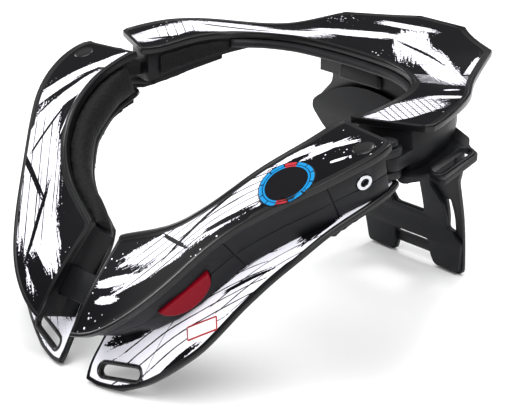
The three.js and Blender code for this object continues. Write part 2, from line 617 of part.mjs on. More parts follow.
function chestPlate() {
  const rows = CHEST_ROWS;
  const plate = loft(rows.map((row) => plainSection(armRowWidth(row), 0, PLATE)
    .map(([w, h]) => chestPoint(row, w, h - STACK))));
  const at = (dx, ds, h) => armPoint(CHEST_SLOT.x * HALF_WIDTH + dx, CHEST_SLOT.s * ARM_LENGTH + ds, h);
  const origin = at(0, 0, -STACK - PLATE / 2);
  const along = new THREE.Vector3(Math.cos(CHEST_SLOT.turn), 0, 0)
    .add(at(0, -1, 0).sub(at(0, 0, 0)).multiplyScalar(Math.sin(CHEST_SLOT.turn)));
  const out = at(0, 0, 1).sub(at(0, 0, 0));
  const tool = extruded(stadium(STRAP_SLOT.length, STRAP_SLOT.width), -PLATE * 2, PLATE * 2);
  tool.applyMatrix4(placement(origin, along, out));
  return cut(plate, tool);
}

function chestFoam() {
  const { fromRow, innerRow, outerRow, steps, inset } = CHEST_FOAM;
  return loft(Array.from({ length: steps + 1 }, (_, i) => {
    const inner = rowBetween(CHEST_ROWS, THREE.MathUtils.lerp(fromRow, innerRow, i / steps));
    const outer = rowBetween(CHEST_ROWS, THREE.MathUtils.lerp(fromRow, outerRow, i / steps));
    const row = { ...inner, outerX: outer.outerX, outerS: outer.outerS };
    return plainSection(armRowWidth(row), inset, FOAM)
      .map(([w, h]) => armRowPoint(row, w, h - STACK - PLATE - GAP));
  }));
}

// Soft pad on the arm's neck side: half-round section that closes at both ends
const ARM_PAD = { bulge: 7, top: 4.2, base: 24.6, fromRow: 2, taper: 5 };

function armPad() {
  const rows = ARM_ROWS.slice(ARM_PAD.fromRow, -1);
  const count = 8;
  const rings = rows.map((row, i) => {
    const nearest = Math.min(i, rows.length - 1 - i);
    const full = Math.min(1, 0.45 + nearest / ARM_PAD.taper);
    const sag = ARM_DIP * row.dip;
    const [top, base] = [-(ARM_PAD.top + sag), -ARM_PAD.base];
    const ring = [];
    for (let k = 0; k <= count; k += 1) {
      const a = (Math.PI * k) / count;
      const h = THREE.MathUtils.lerp(top, base, (1 - Math.cos(a)) / 2);
      const push = CORE_INSET - GAP - (ARM_PAD.bulge + CORE_INSET - GAP) * full * Math.sin(a) ** 0.6;
      ring.push(armRowPoint(row, push, h));
    }
    return ring;
  });
  return loft(rings);
}

// Rear half
const rearRow = (row) => ({
  inner: new THREE.Vector3(row.innerX * HALF_WIDTH, row.innerY * REAR_LENGTH, HINGE_HEIGHT + row.innerRise * CROWN),
  outer: new THREE.Vector3(row.outerX * HALF_WIDTH, row.outerY * REAR_LENGTH, HINGE_HEIGHT + row.outerRise * CROWN),
  inset: row.inset,
  eave: row.eave,
});
const flipRow = ({ inner, outer, inset, eave }) => ({
  inner: inner.clone().setX(-inner.x), outer: outer.clone().setX(-outer.x), inset, eave,
});
const bothSides = (rows) => [...rows, ...rows.slice(0, -1).reverse().map(flipRow)];
const rearRows = bothSides(REAR_ROWS.map(rearRow));

const rearPlane = (x, y) => PLANE_BASE + PLANE_RISE * y - PLANE_FALL * Math.abs(x);

function rearPoint(row, w, h) {
  const width = row.inner.distanceTo(row.outer);
  const point = row.inner.clone().lerp(row.outer, w / width);
  return point.setZ(point.z + h);
}

function rearDeck() {
  return loft(rearRows.map((row) => rimmedSection(row.inner.distanceTo(row.outer), DECK)
    .map(([w, h]) => rearPoint(row, w, h))));
}

function rearCore() {
  const rings = rearRows.slice(1, -1).map((row) => {
    const width = row.inner.distanceTo(row.outer);
    const [a, b] = [row.inset, width - row.eave];
    const stops = [a, THREE.MathUtils.lerp(a, b, 0.35), THREE.MathUtils.lerp(a, b, 0.7), b];
    const base = (w) => {
      const top = rearPoint(row, w, 0);
      return top.clone().setZ(Math.min(rearPlane(top.x, top.y), top.z - COLLAR));
    };
    return [
      ...stops.map((w) => rearPoint(row, w, -(DECK + GAP))),
      ...stops.map((w) => base(w)).reverse(),
    ];
  });
  const body = loft(rings);
  const front = BACK_TOP_Y - SOCKET.lip;
  const socket = box(-SOCKET.halfWidth, SOCKET.halfWidth, front, front + SOCKET.depth,
    BACK_HEIGHT - SOCKET.grip, HINGE_HEIGHT);
  const lug = (side) => hingeArm(side, EAR.lugBase, EAR.lugTop, LUG_REACH);
  return cut(
    fuse(body, socket, lug(1), lug(-1)),
    backSlab(-GAP, BACK_SHEET + GAP, SOCKET.halfWidth - SOCKET.wall, 1),
    pinHole(1, HINGE.pin + GAP), pinHole(-1, HINGE.pin + GAP),
  );
}

// Hinge piece around the pin with a web towards another place in plan
function hingeArm(side, from, to, reach) {
  const start = new THREE.Vector2(HINGE.x, HINGE.y);
  const end = new THREE.Vector2(HINGE.x + reach.x, HINGE.y + reach.y);
  const length = start.distanceTo(end);
  const r = HINGE.radius;
  const points = [];
  for (let i = 0; i <= 12; i += 1) {
    const a = Math.PI / 2 + (Math.PI * i) / 12;
    points.push(new THREE.Vector2(r * Math.cos(a), r * Math.sin(a)));
  }
  points.push(new THREE.Vector2(length, -r), new THREE.Vector2(length, r));
  const geometry = extruded(new THREE.Shape(points), from, to);
  geometry.rotateZ(Math.atan2(end.y - start.y, end.x - start.x));
  geometry.translate(start.x, start.y, 0);
  return side > 0 ? geometry : mirrored(welded(geometry));
}

function cylinder(radius, from, to, segments = 20) {
  const profile = [[0, from], [radius, from], [radius, to], [0, to]];
  const geometry = new THREE.LatheGeometry(profile.map(([r, z]) => new THREE.Vector2(r, z)), segments);
  geometry.rotateX(Math.PI / 2);
  return geometry;
}

function pinHole(side, radius) {
  const geometry = cylinder(radius, EAR.lowBase - 10, EAR.highTop + 10);
  geometry.translate(side * HINGE.x, HINGE.y, 0);
  return geometry;
}

function hingePin(side) {
  const { pin, headRadius, headHeight } = HINGE;
  const top = EAR.highTop + GAP;
  const profile = [
    [0, EAR.lowBase + 0.5], [pin, EAR.lowBase + 0.5], [pin, top], [headRadius, top],
    [headRadius, top + headHeight - 0.6], [headRadius - 0.6, top + headHeight], [0, top + headHeight],
  ];
  const geometry = new THREE.LatheGeometry(profile.map(([r, z]) => new THREE.Vector2(r, z)), 20);
  geometry.rotateX(Math.PI / 2);
  geometry.translate(side * HINGE.x, HINGE.y, 0);
  return outward(welded(geometry));
}

// Rolled edge behind the neck, under the deck's inner edge
function collarLip() {
  const rows = bothSides(REAR_ROWS.slice(LIP.fromRow).map(rearRow));
  const count = 8;
  const back = 3.4;
  return loft(rows.map((row, i) => {
    const nearest = Math.min(i, rows.length - 1 - i);
    const full = Math.min(1, 0.5 + nearest * 0.25);
    const depth = Math.min(row.inset - GAP, back);
    const ring = [];
    for (let k = 0; k <= count; k += 1) {
      const a = (Math.PI * k) / count;
      const h = -(DECK + GAP) - ((1 - Math.cos(a)) / 2) * (LIP.height - 1);
      ring.push(rearPoint(row, depth - (depth + LIP.bulge * full) * Math.sin(a) ** 0.7, h));
    }
    return ring;
  }));
}

// Thin ribbed pad on the neck side of the rear core
function rearPad() {
  const rows = REAR_ROWS.slice(REAR_PAD.fromRow, REAR_PAD.toRow + 1).map(rearRow);
  return loft(rows.map((row) => {
    const back = row.inset - GAP;
    const front = back - REAR_PAD.thickness;
    const top = rearPoint(row, back, -(DECK + GAP) - 1.2);
    const low = rearPoint(row, back, 0);
    const floor = Math.min(rearPlane(low.x, low.y), low.z - COLLAR) + 1.5;
    const h = (share) => THREE.MathUtils.lerp(top.z, floor, share) - low.z;
    return [
      rearPoint(row, back, h(0)), rearPoint(row, front + 0.5, h(0)), rearPoint(row, front, h(0.15)),
      rearPoint(row, front, h(0.85)), rearPoint(row, front + 0.5, h(1)), rearPoint(row, back, h(1)),
    ];
  }));
}

// Flat outline laid into the slanting plane of the rear strap plates
function onRearPlane(corners, holes, topOffset, thickness) {
  const points = corners.map(({ x, y, round }) => ({ x: x * HALF_WIDTH, y: y * REAR_LENGTH, round }));
  const shape = roundedShape(points);
  holes.forEach((hole) => shape.holes.push(hole));
  const geometry = welded(extruded(shape, topOffset - thickness, topOffset));
  const p = geometry.attributes.position;
  for (let i = 0; i < p.count; i += 1) p.setZ(i, p.getZ(i) + rearPlane(p.getX(i), p.getY(i)));
  return outward(geometry);
}

function strapPlate() {
  const slot = stadium(STRAP_SLOT.length, STRAP_SLOT.width).getPoints()
    .map((p) => p.rotateAround(new THREE.Vector2(), STRAP_HOLE.turn)
      .add(new THREE.Vector2(STRAP_HOLE.x * HALF_WIDTH, STRAP_HOLE.y * REAR_LENGTH)));
  return onRearPlane(STRAP_PLATE, [new THREE.Path(slot)], -GAP, PLATE);
}

const strapFoam = () => onRearPlane(STRAP_FOAM, [], -GAP * 2 - PLATE, FOAM);

// Back support: a bent slab cut to its outline
const backCurve = new THREE.CatmullRomCurve3(BACK_PROFILE.map((row) => new THREE.Vector3(
  0, BACK_TOP_Y + row.back * BACK_RUN, row.height * BACK_HEIGHT,
)), false, 'centripetal');

function backSlab(front, rear, half, above = 0) {
  const steps = 22;
  const side = (offset) => Array.from({ length: steps + 1 }, (_, i) => {
    const u = i / steps;
    const point = backCurve.getPointAt(u);
    const tangent = backCurve.getTangentAt(u);
    if (u === 0) point.addScaledVector(tangent, -above);
    return new THREE.Vector3(0, point.y - offset * tangent.z, point.z + offset * tangent.y);
  });
  const outline = [...side(front), ...side(rear).reverse()];
  return loft([-half, half].map((x) => outline.map((p) => p.clone().setX(x))));
}

// Full outline from a half one, in x and z, extruded through the support along Y
function backCutter(half, holes = []) {
  const scaled = half.map(({ x, z, round }) => ({ x: x * BACK_HALF, y: z * BACK_HEIGHT, round }));
  const other = scaled.filter((p) => p.x > 0).reverse().map((p) => ({ ...p, x: -p.x }));
  const shape = roundedShape([...scaled, ...other], 5);
  holes.forEach((hole) => shape.holes.push(hole));
  const geometry = welded(extruded(shape, -80, 80));
  geometry.rotateX(Math.PI / 2);
  return outward(geometry);
}

function openingPath(corners, grow = 0) {
  const points = corners.map(({ x, z, round }) => new THREE.Vector3(x * BACK_HALF, z * BACK_HEIGHT, round));
  const middle = new THREE.Box3().setFromPoints(points).getCenter(new THREE.Vector3());
  return new THREE.Path(roundedShape(points.map((p) => ({
    x: p.x + grow * Math.sign(p.x - middle.x), y: p.y + grow * Math.sign(p.y - middle.y), round: p.z,
  }))).getPoints());
}

function backPlate() {
  const otherSlot = BACK_SIDE_SLOT.map((corner) => ({ ...corner, x: -corner.x })).reverse();
  const holes = [BACK_WINDOW, BACK_SLIT, BACK_SIDE_SLOT, otherSlot].map((hole) => openingPath(hole));
  return common(backSlab(0, BACK_SHEET, BACK_HALF + 4), backCutter(BACK_PLATE, holes));
}

function backPad() {
  const holes = [openingPath(BACK_WINDOW, 0.6)];
  return common(backSlab(-GAP - BACK_CUSHION, -GAP, BACK_HALF + 4), backCutter(BACK_PAD, holes));
}

// Red release button: half lens with a softened face, in a pocket of the left arm's wall
function buttonOutline(grow) {
  const [half, tall] = [BUTTON.length / 2 + grow, BUTTON.height + 2 * grow];
  return Array.from({ length: 17 }, (_, i) => {
    const a = Math.PI + (Math.PI * i) / 16;
    return new THREE.Vector2(half * Math.cos(a), grow + tall * Math.sin(a) * (1 - 0.12 * Math.cos(a)));
  });
}

function buttonMatrix() {
  const { origin, along, out } = wallPlace(BUTTON.along, BUTTON.down - BUTTON.height / 2);
  return placement(origin, along.negate(), out);
}

function buttonSolid(layers) {
  return loft(layers.map(([z, grow]) => buttonOutline(grow).map((p) => new THREE.Vector3(p.x, p.y, z))))
    .applyMatrix4(buttonMatrix());
}

const releaseButton = () => buttonSolid([
  [-BUTTON.depth, 0], [BUTTON.proud - 1, 0], [BUTTON.proud - 0.4, -0.3], [BUTTON.proud, -1.3],
]);

function latchTool(side, depth, grow) {
  // a bar along X at the split, square to the arm's end face
  const s = LATCH.along;
  const centre = armPoint(0, s, -LATCH.down);
  const up = armPoint(0, s - 1, -LATCH.down).sub(centre);
  const geometry = new THREE.BoxGeometry(LATCH.length + 2 * grow, LATCH.thickness + 2 * grow, depth);
  const out = new THREE.Vector3(side, 0, 0);
  geometry.translate(0, 0, depth / 2);
  geometry.applyMatrix4(placement(centre, up, out));
  return geometry;
}

const SPLIT = ARM_ROWS[ARM_ROWS.length - 1].innerX * HALF_WIDTH; // end of an arm beside the split

function latchTongue() {
  const from = -(SPLIT + LATCH.seat - GAP);
  const length = SPLIT + LATCH.reach - from + 1;
  const tongue = latchTool(1, length, 0);
  tongue.translate(from, 0, 0);
  return welded(tongue);
}

const group = new THREE.Group();
group.name = 'neck_brace';

const COLORS = {
  deck: '#1e1c22', shell: '#26272b', foam: '#3a3b3f', mesh: '#17181b', button: '#b3202f', metal: '#b9bcc2',
};

function eyeletTool(radius, bore, from, to) {
  const profile = bore > 0
    ? [[bore, from], [radius, from], [radius, to - 0.3], [radius - 0.3, to], [bore, to], [bore, from]]
    : [[0, from], [radius, from], [radius, to], [0, to]];
  const geometry = new THREE.LatheGeometry(profile.map(([r, z]) => new THREE.Vector2(r, z)), 20);
  geometry.rotateX(Math.PI / 2);
  const { origin, along, out } = wallPlace(EYELET.along, EYELET.down);
  return outward(welded(geometry)).applyMatrix4(placement(origin, along, out));
}

const armEars = () => [
  hingeArm(1, EAR.lowBase, EAR.lowTop, EAR_REACH),
  hingeArm(1, EAR.highBase, EAR.highTop, EAR_REACH),
];

const plainArmCore = cut(
  fuse(armCore(), ...armEars()),
  pinHole(1, HINGE.pin + GAP),
  eyeletTool(EYELET.outer + GAP, 0, -(EYELET.depth - EYELET.proud) - GAP, 3),
);

function socketTool(side) {
  const slack = side > 0 ? LATCH.swing : GAP;
  const tool = latchTool(side, 60, slack);
  const depth = side > 0 ? LATCH.reach + 1.5 : LATCH.seat;
  tool.translate(side * (SPLIT + depth + 1 - 60), 0, 0);
  return tool;
}

// The pocket leaves room behind the button for its travel
const buttonPocket = () => buttonSolid([
  [-(BUTTON.depth + BUTTON.travel + 0.8), BUTTON.fit], [12, BUTTON.fit],
]);

const sides = [['left', 1], ['right', -1]];
sides.forEach(([label, side]) => {
  const place = (geometry) => (side > 0 ? geometry : mirrored(geometry));
  const name = (piece) => `${piece}_${label}`;
  const pocketed = side > 0 ? [buttonPocket()] : [];
  const core = cut(place(plainArmCore), socketTool(side), ...pocketed);
  group.add(
    part(place(armDeck()), name('arm_deck'), COLORS.deck, 0.35),
    part(core, name('arm_core'), COLORS.shell, 0.55),
    part(place(armPad()), name('arm_pad'), COLORS.mesh, 0.95),
    part(place(chestPlate()), name('chest_plate'), COLORS.deck, 0.35),
    part(place(chestFoam()), name('chest_foam'), COLORS.foam, 0.9),
    part(place(eyeletTool(EYELET.outer, EYELET.bore, -(EYELET.depth - EYELET.proud), EYELET.proud)),
      name('side_eyelet'), COLORS.metal, 0.3, 1),
    part(hingePin(side), name('hinge_pin'), COLORS.shell, 0.5),
    part(place(rearPad()), name('rear_pad'), COLORS.mesh, 0.95),
    part(place(strapPlate()), name('strap_plate'), COLORS.shell, 0.5),
    part(place(strapFoam()), name('strap_foam'), COLORS.foam, 0.9),
  );
});
group.add(
  part(rearDeck(), 'rear_deck', COLORS.deck, 0.35),
  part(rearCore(), 'rear_core', COLORS.shell, 0.55),
  part(collarLip(), 'collar_lip', COLORS.foam, 0.8),
  part(backPlate(), 'back_plate', COLORS.shell, 0.5),
  part(backPad(), 'back_pad', COLORS.foam, 0.9),
  part(latchTongue(), 'latch_tongue', COLORS.shell, 0.5),
  part(releaseButton(), 'release_button', COLORS.button, 0.4),
);

// The origin goes to the middle of the footprint, on the floor
const bounds = new THREE.Box3().setFromObject(group);
const middle = bounds.getCenter(new THREE.Vector3());
group.children.forEach((mesh) => mesh.position.set(-middle.x, -middle.y, -bounds.min.z));

export default group;
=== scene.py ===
"""Visual model of a motocross neck brace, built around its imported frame.

Lengths are metres in the row frame unless a name ends in _mm. The wearer's left is +X and
the chest tips point to -Y.
"""
from __future__ import annotations

import json
import logging
import math
from dataclasses import dataclass, field, replace
from enum import Enum

import bmesh
import bpy
from mathutils import Matrix, Vector
from mathutils.bvhtree import BVHTree
from mathutils.kdtree import KDTree

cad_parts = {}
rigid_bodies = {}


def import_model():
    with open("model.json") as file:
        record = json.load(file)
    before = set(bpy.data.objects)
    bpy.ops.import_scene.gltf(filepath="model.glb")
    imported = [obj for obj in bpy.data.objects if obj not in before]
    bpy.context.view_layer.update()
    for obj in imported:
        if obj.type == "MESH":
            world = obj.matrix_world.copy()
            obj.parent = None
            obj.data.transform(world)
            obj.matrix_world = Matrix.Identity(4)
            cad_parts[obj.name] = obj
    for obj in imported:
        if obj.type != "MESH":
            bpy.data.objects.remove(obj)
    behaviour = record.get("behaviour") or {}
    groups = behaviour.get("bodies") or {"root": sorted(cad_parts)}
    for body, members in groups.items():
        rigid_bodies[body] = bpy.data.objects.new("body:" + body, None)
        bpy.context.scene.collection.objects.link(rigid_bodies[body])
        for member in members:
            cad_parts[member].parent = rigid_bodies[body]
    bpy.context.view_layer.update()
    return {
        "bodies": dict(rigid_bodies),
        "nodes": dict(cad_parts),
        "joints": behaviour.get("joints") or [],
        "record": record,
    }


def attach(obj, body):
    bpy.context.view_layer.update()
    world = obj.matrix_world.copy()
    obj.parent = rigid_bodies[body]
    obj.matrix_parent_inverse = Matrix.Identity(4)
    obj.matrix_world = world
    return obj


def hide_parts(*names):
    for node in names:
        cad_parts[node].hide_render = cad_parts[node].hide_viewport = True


MM = 0.001
log = logging.getLogger("neck_brace")

Material, Node, Object = bpy.types.Material, bpy.types.Node, bpy.types.Object
Socket, Tree = bpy.types.NodeSocket, bpy.types.NodeTree
Triple = tuple[float, float, float]
Rings = list[list[Triple]]  # each point's x, y and height, in millimetres


class Side(Enum):
    """The two halves of the brace, with the sign of x."""

    LEFT = 1
    RIGHT = -1

    @property
    def tag(self) -> str:
        """The side's ending in node names."""
        return self.name.lower()


class Tone(Enum):
    """The two inks of the printed film."""

    WHITE = 1.0
    BLACK = 0.0


# ---- shared mesh and shader helpers


def linear(code: str) -> tuple[float, float, float, float]:
    """Turns an sRGB hex colour to linear RGBA.

    Args:
        code: colour as "#rrggbb".

    Returns:
        Linear red, green, blue and alpha.
    """
    parts = [int(code[i : i + 2], 16) / 255 for i in (1, 3, 5)]
    lin = [c / 12.92 if c <= 0.04045 else ((c + 0.055) / 1.055) ** 2.4 for c in parts]
    return (lin[0], lin[1], lin[2], 1.0)


def add_node(tree: Tree, kind: str, inputs: dict | None = None, **settings: object) -> Node:
    """Adds a shader node with its settings, values and links.

    Args:
        tree: node tree to add to.
        kind: node type, without the ShaderNode prefix.
        inputs: socket name or index to a value, or to the output socket to link from. A node
            stands for its first output.
        **settings: attributes set on the node before its sockets.

    Returns:
        The new node.
    """
    node = tree.nodes.new("ShaderNode" + kind)
    for key, value in settings.items():
        setattr(node, key, value)
    for key, value in (inputs or {}).items():
        source = value.outputs[0] if isinstance(value, Node) else value
        if isinstance(source, Socket):
            tree.links.new(source, node.inputs[key])
        else:
            node.inputs[key].default_value = source
    return node


def new_object(name: str, bm: bmesh.types.BMesh) -> Object:
    """Puts a bmesh into the scene as an object with smooth faces.

    Args:
        name: object name.
        bm: mesh, freed here.

    Returns:
        The new object.
    """
    bmesh.ops.recalc_face_normals(bm, faces=bm.faces)
    for face in bm.faces:
        face.smooth = True
    mesh = bpy.data.meshes.new(name)
    bm.to_mesh(mesh)
    bm.free()
    obj = bpy.data.objects.new(name, mesh)
    bpy.context.scene.collection.objects.link(obj)
    return obj


def joined_copy(source: Object) -> bmesh.types.BMesh:
    """Copies a mesh with its doubled points joined and its triangles paired to quads.

    Args:
        source: object whose mesh is read.

    Returns:
        A new bmesh.
    """
    bm = bmesh.new()
    bm.from_mesh(source.data)
    bmesh.ops.remove_doubles(bm, verts=bm.verts, dist=0.02 * MM)
    bmesh.ops.dissolve_degenerate(bm, edges=bm.edges, dist=0.01 * MM)
    flat, square = math.radians(16), math.radians(70)
    bmesh.ops.join_triangles(bm, faces=bm.faces, angle_face_threshold=flat, angle_shape_threshold=square)
    return bm


def surface_of(obj: Object) -> BVHTree:
    """Gives a search tree over an object's final surface."""
    return BVHTree.FromObject(obj, bpy.context.evaluated_depsgraph_get())


def applied(obj: Object) -> None:
    """Applies every modifier of an object to its mesh."""
    graph = bpy.context.evaluated_depsgraph_get()
    mesh = bpy.data.meshes.new_from_object(obj.evaluated_get(graph), depsgraph=graph)
    obj.modifiers.clear()
    obj.data = mesh


# ---- finishes


@dataclass(frozen=True)
class Finish:
    """A surface finish. Subclasses give the shader's inputs."""

    name: str

    def build(self) -> Material:
        """Makes the material, named after the finish."""
        material = bpy.data.materials.new(self.name)
        material.use_nodes = True
        tree = material.node_tree
        tree.nodes.clear()
        place = add_node(tree, "TexCoord").outputs["Object"]
        shader = add_node(tree, "BsdfPrincipled", self.dress(tree, place))
        add_node(tree, "OutputMaterial", {"Surface": shader})
        return material

    def dress(self, tree: Tree, place: Socket) -> dict:
        """Makes the nodes of the pattern.

        Args:
            tree: the material's node tree.
            place: coordinates on the object, in metres.

        Returns:
            The inputs of the principled shader.
        """
        raise NotImplementedError

    def tint(self, tree: Tree, factor: Node, low: str, high: str) -> Socket:
        """Mixes two colours by a factor.

        Args:
            tree: node tree.
            factor: 0 for low, 1 for high.
            low: sRGB hex colour.
            high: sRGB hex colour.

        Returns:
            The colour socket.
        """
        return add_node(tree, "Mix", {0: factor, 6: linear(low), 7: linear(high)}, data_type="RGBA").outputs[2]


@dataclass(frozen=True)
class MouldedNylon(Finish):
    """Glass-filled nylon from a spark-eroded mould: a dull charcoal with a fine even grain."""

    base: str = "#0c0c0f"
    scuffed: str = "#141518"
    roughness: float = 0.44
    grain_mm: float = 0.9  # the real grain is near 0.2 mm; drawn coarser to show

    def dress(self, tree: Tree, place: Socket) -> dict:
        """See Finish.dress."""
        scale = 1 / (self.grain_mm * MM)
        grain = add_node(tree, "TexNoise", {"Vector": place, "Scale": scale, "Detail": 3.0, "Roughness": 0.6})
        # handling scuffs about 26 mm across
        cloud = add_node(tree, "TexNoise", {"Vector": place, "Scale": 38.0, "Detail": 4.0, "Roughness": 0.6})
        patch = add_node(tree, "MapRange", {"Value": cloud, "From Min": 0.42, "From Max": 0.72})
        dull = add_node(
            tree, "MapRange",
            {"Value": cloud, "From Min": 0.3, "From Max": 0.75,
             "To Min": self.roughness - 0.06, "To Max": self.roughness + 0.08},
        )
        return {
            "Base Color": self.tint(tree, patch, self.base, self.scuffed),
            "Roughness": dull,
            "Normal": add_node(tree, "Bump", {"Height": grain, "Strength": 0.22, "Distance": 0.12 * MM}),
            "IOR": 1.53,
            "Specular IOR Level": 0.2,
        }


@dataclass(frozen=True)
class PolishedEdge(Finish):
    """Gloss-moulded edge of the composite decks: near black, with a thin bright line of light."""

    base: str = "#0c0c0e"
    worn: str = "#1b1b1e"

    def dress(self, tree: Tree, place: Socket) -> dict:
        """See Finish.dress."""
        # handling wear about 6 mm long
        wear = add_node(tree, "TexNoise", {"Vector": place, "Scale": 160.0, "Detail": 5.0, "Roughness": 0.7})
        spot = add_node(tree, "MapRange", {"Value": wear, "From Min": 0.5, "From Max": 0.75})
        rough = add_node(
            tree, "MapRange", {"Value": wear, "From Min": 0.3, "From Max": 0.7, "To Min": 0.2, "To Max": 0.36}
        )
        return {"Base Color": self.tint(tree, spot, self.base, self.worn), "Roughness": rough, "IOR": 1.5}


@dataclass(frozen=True)
class Stroke:
    """One dry brush pull or hatched patch of the print, seen from above, in millimetres.

    pitch_mm is 0 for a full stroke, else the spacing of its thin lines.
    """

    x: float
    y: float
    run: float
    breadth: float
    turn: float
    tone: Tone = Tone.WHITE
    pitch_mm: float = 0.0
    line_mm: float = 0.55  # the real lines are 0.3 to 0.6 mm; drawn wide enough to show
    ragged: float = 2.4


@dataclass(frozen=True)
class PrintedFilm(Finish):
    """In-mould printed film under a clear coat: satin near black with dry white brushwork."""

    strokes: tuple[Stroke, ...] = ()
    ground: str = "#0b0a0d"
    white: str = "#eeedf6"
    edge: str = "#09090b"
    rim_mm: float = 2.2
    rim_blur_mm: float = 0.12

    def dress(self, tree: Tree, place: Socket) -> dict:
        """See Finish.dress."""
        # grit: broken flecks of ink about 1 mm across
        grit = add_node(tree, "TexNoise", {"Vector": place, "Scale": 900.0, "Detail": 3.0})
        cover: Node | float = 0.0
        for number, stroke in enumerate(self.strokes):
            mask = self.mask(tree, place, grit, stroke, number)
            cover = add_node(tree, "Mix", {0: mask, 2: cover, 3: stroke.tone.value}, data_type="FLOAT")
        # orange peel of the clear coat, about 2.4 mm across
        peel = add_node(tree, "TexNoise", {"Vector": place, "Scale": 420.0, "Detail": 2.0})
        # spatter: drops of about 0.5 mm, 3 mm apart where the ink was flicked
        drops = add_node(tree, "TexVoronoi", {"Vector": place, "Scale": 330.0})
        flick = add_node(tree, "TexNoise", {"Vector": place, "Scale": 26.0, "Detail": 1.0})
        size = add_node(tree, "MapRange", {"Value": flick, "From Min": 0.48, "From Max": 0.75, "To Max": 0.24})
        spatter = add_node(tree, "Math", {0: drops, 1: size}, operation="LESS_THAN")
        inked = add_node(tree, "Math", {0: cover, 1: spatter}, operation="MAXIMUM")
        distance = add_node(tree, "Attribute", attribute_name="rim_distance", attribute_type="GEOMETRY")
        printed = add_node(
            tree, "MapRange",
            {"Value": distance.outputs["Fac"], "From Min": (self.rim_mm - self.rim_blur_mm) * MM,
             "From Max": (self.rim_mm + self.rim_blur_mm) * MM},
        )
        film = self.tint(tree, inked, self.ground, self.white)
        colour = add_node(tree, "Mix", {0: printed, 6: linear(self.edge), 7: film}, data_type="RGBA")
        # the bare rim is glossier than the satin film
        return {
            "Base Color": colour.outputs[2],
            "Roughness": add_node(tree, "MapRange", {"Value": printed, "To Min": 0.3, "To Max": 0.38}),
            "Normal": add_node(tree, "Bump", {"Height": peel, "Strength": 0.1, "Distance": 0.08 * MM}),
            "Specular IOR Level": add_node(tree, "MapRange", {"Value": printed, "To Min": 0.42, "To Max": 0.07}),
            "IOR": 1.45,
        }

    def mask(self, tree: Tree, place: Socket, grit: Node, stroke: Stroke, number: int) -> Node:
        """Draws one stroke or hatched patch.

        Args:
            tree: node tree.
            place: coordinates on the object, in metres.
            grit: fine noise that breaks the ink's edges.
            stroke: the stroke.
            number: its place in the table, which shifts its noise.

        Returns:
            A node that gives 1 inside the ink and 0 outside it.
        """
        flat = add_node(
            tree, "Mapping",
            {"Vector": place, "Location": (stroke.x * MM, stroke.y * MM, 0.0),
             "Rotation": (0.0, 0.0, math.radians(stroke.turn)),
             "Scale": (stroke.run / 2 * MM, stroke.breadth / 2 * MM, 1.0)},
            vector_type="TEXTURE",
        )
        # bristle streaks: about 22 mm long and 1.1 mm apart
        bristle = add_node(
            tree, "Mapping",
            {"Vector": flat, "Location": (3.7 * number, 1.9 * number, 0.0),
             "Scale": (stroke.run / 2 / 22, stroke.breadth / 2 / 1.1, 0.0)},
        )
        streak = add_node(tree, "TexNoise", {"Vector": bristle, "Scale": 1.0, "Detail": 4.0, "Roughness": 0.65})
        # long torn ends along the run, tight edges across it
        square = add_node(tree, "VectorMath", {0: flat, 1: flat}, operation="MULTIPLY")
        axes = add_node(tree, "SeparateXYZ", {0: square}).outputs
        side = add_node(tree, "Math", {0: axes[1], 1: axes[1], 2: axes[0]}, operation="MULTIPLY_ADD")
        inside = add_node(tree, "Math", {0: 1.0, 1: side}, operation="SUBTRACT")
        flecked = add_node(tree, "Math", {0: grit, 1: -0.4 * stroke.ragged, 2: inside}, operation="MULTIPLY_ADD")
        torn = add_node(tree, "Math", {0: streak, 1: -stroke.ragged, 2: flecked}, operation="MULTIPLY_ADD")
        # both noises lie round 0.5, so this is where the ink ends
        end = -0.7 * stroke.ragged
        body = add_node(tree, "MapRange", {"Value": torn, "From Min": end + 0.02, "From Max": end + 0.12})
        if not stroke.pitch_mm:
            return body
        across = add_node(tree, "SeparateXYZ", {0: flat}).outputs[1]
        wobble = add_node(tree, "Math", {0: streak, 1: 0.22, 2: float(number)}, operation="MULTIPLY_ADD")
        lines = stroke.breadth / 2 / stroke.pitch_mm
        phase = add_node(tree, "Math", {0: across, 1: lines, 2: wobble}, operation="MULTIPLY_ADD")
        cycle = add_node(tree, "Math", {0: phase}, operation="FRACT")
        thin = add_node(tree, "Math", {0: cycle, 1: stroke.line_mm / stroke.pitch_mm}, operation="LESS_THAN")
        return add_node(tree, "Math", {0: thin, 1: body}, operation="MULTIPLY")


@dataclass(frozen=True)
class RibKnit(Finish):
    """Warp-knitted spacer mesh: soft black, its rib tops painted lighter than the hollows between them as a painted
    sheen and painted shade.
    """

    base: str = "#030304"
    # colour of the rib tops, lighter than base: a painted highlight
    raised: str = "#0e0e10"
    rib_mm: float = 2.0  # drawn wider than the real 1.2 mm so that it shows

    def dress(self, tree: Tree, place: Socket) -> dict:
        """See Finish.dress."""
        scale = 1 / (self.rib_mm * MM)
        cells = add_node(tree, "TexVoronoi", {"Vector": place, "Scale": scale, "Randomness": 0.75})
        fibre = add_node(tree, "TexNoise", {"Vector": place, "Scale": 1400.0, "Detail": 2.0})
        height = add_node(tree, "Math", {0: fibre, 1: 0.35, 2: cells}, operation="MULTIPLY_ADD")
        # rib tops painted lighter and hollows darker, following the bump: painted highlight and painted shade
        top = add_node(tree, "MapRange", {"Value": cells, "From Min": 0.15, "From Max": 0.75})
        return {
            "Base Color": self.tint(tree, top, self.base, self.raised),
            "Normal": add_node(tree, "Bump", {"Height": height, "Strength": 0.7, "Distance": 0.4 * MM}),
            "Roughness": add_node(tree, "MapRange", {"Value": fibre, "To Min": 0.62, "To Max": 0.82}),
            "IOR": 1.46,
            "Specular IOR Level": 0.25,
            "Sheen Weight": 0.02,
            "Sheen Roughness": 0.45,
        }


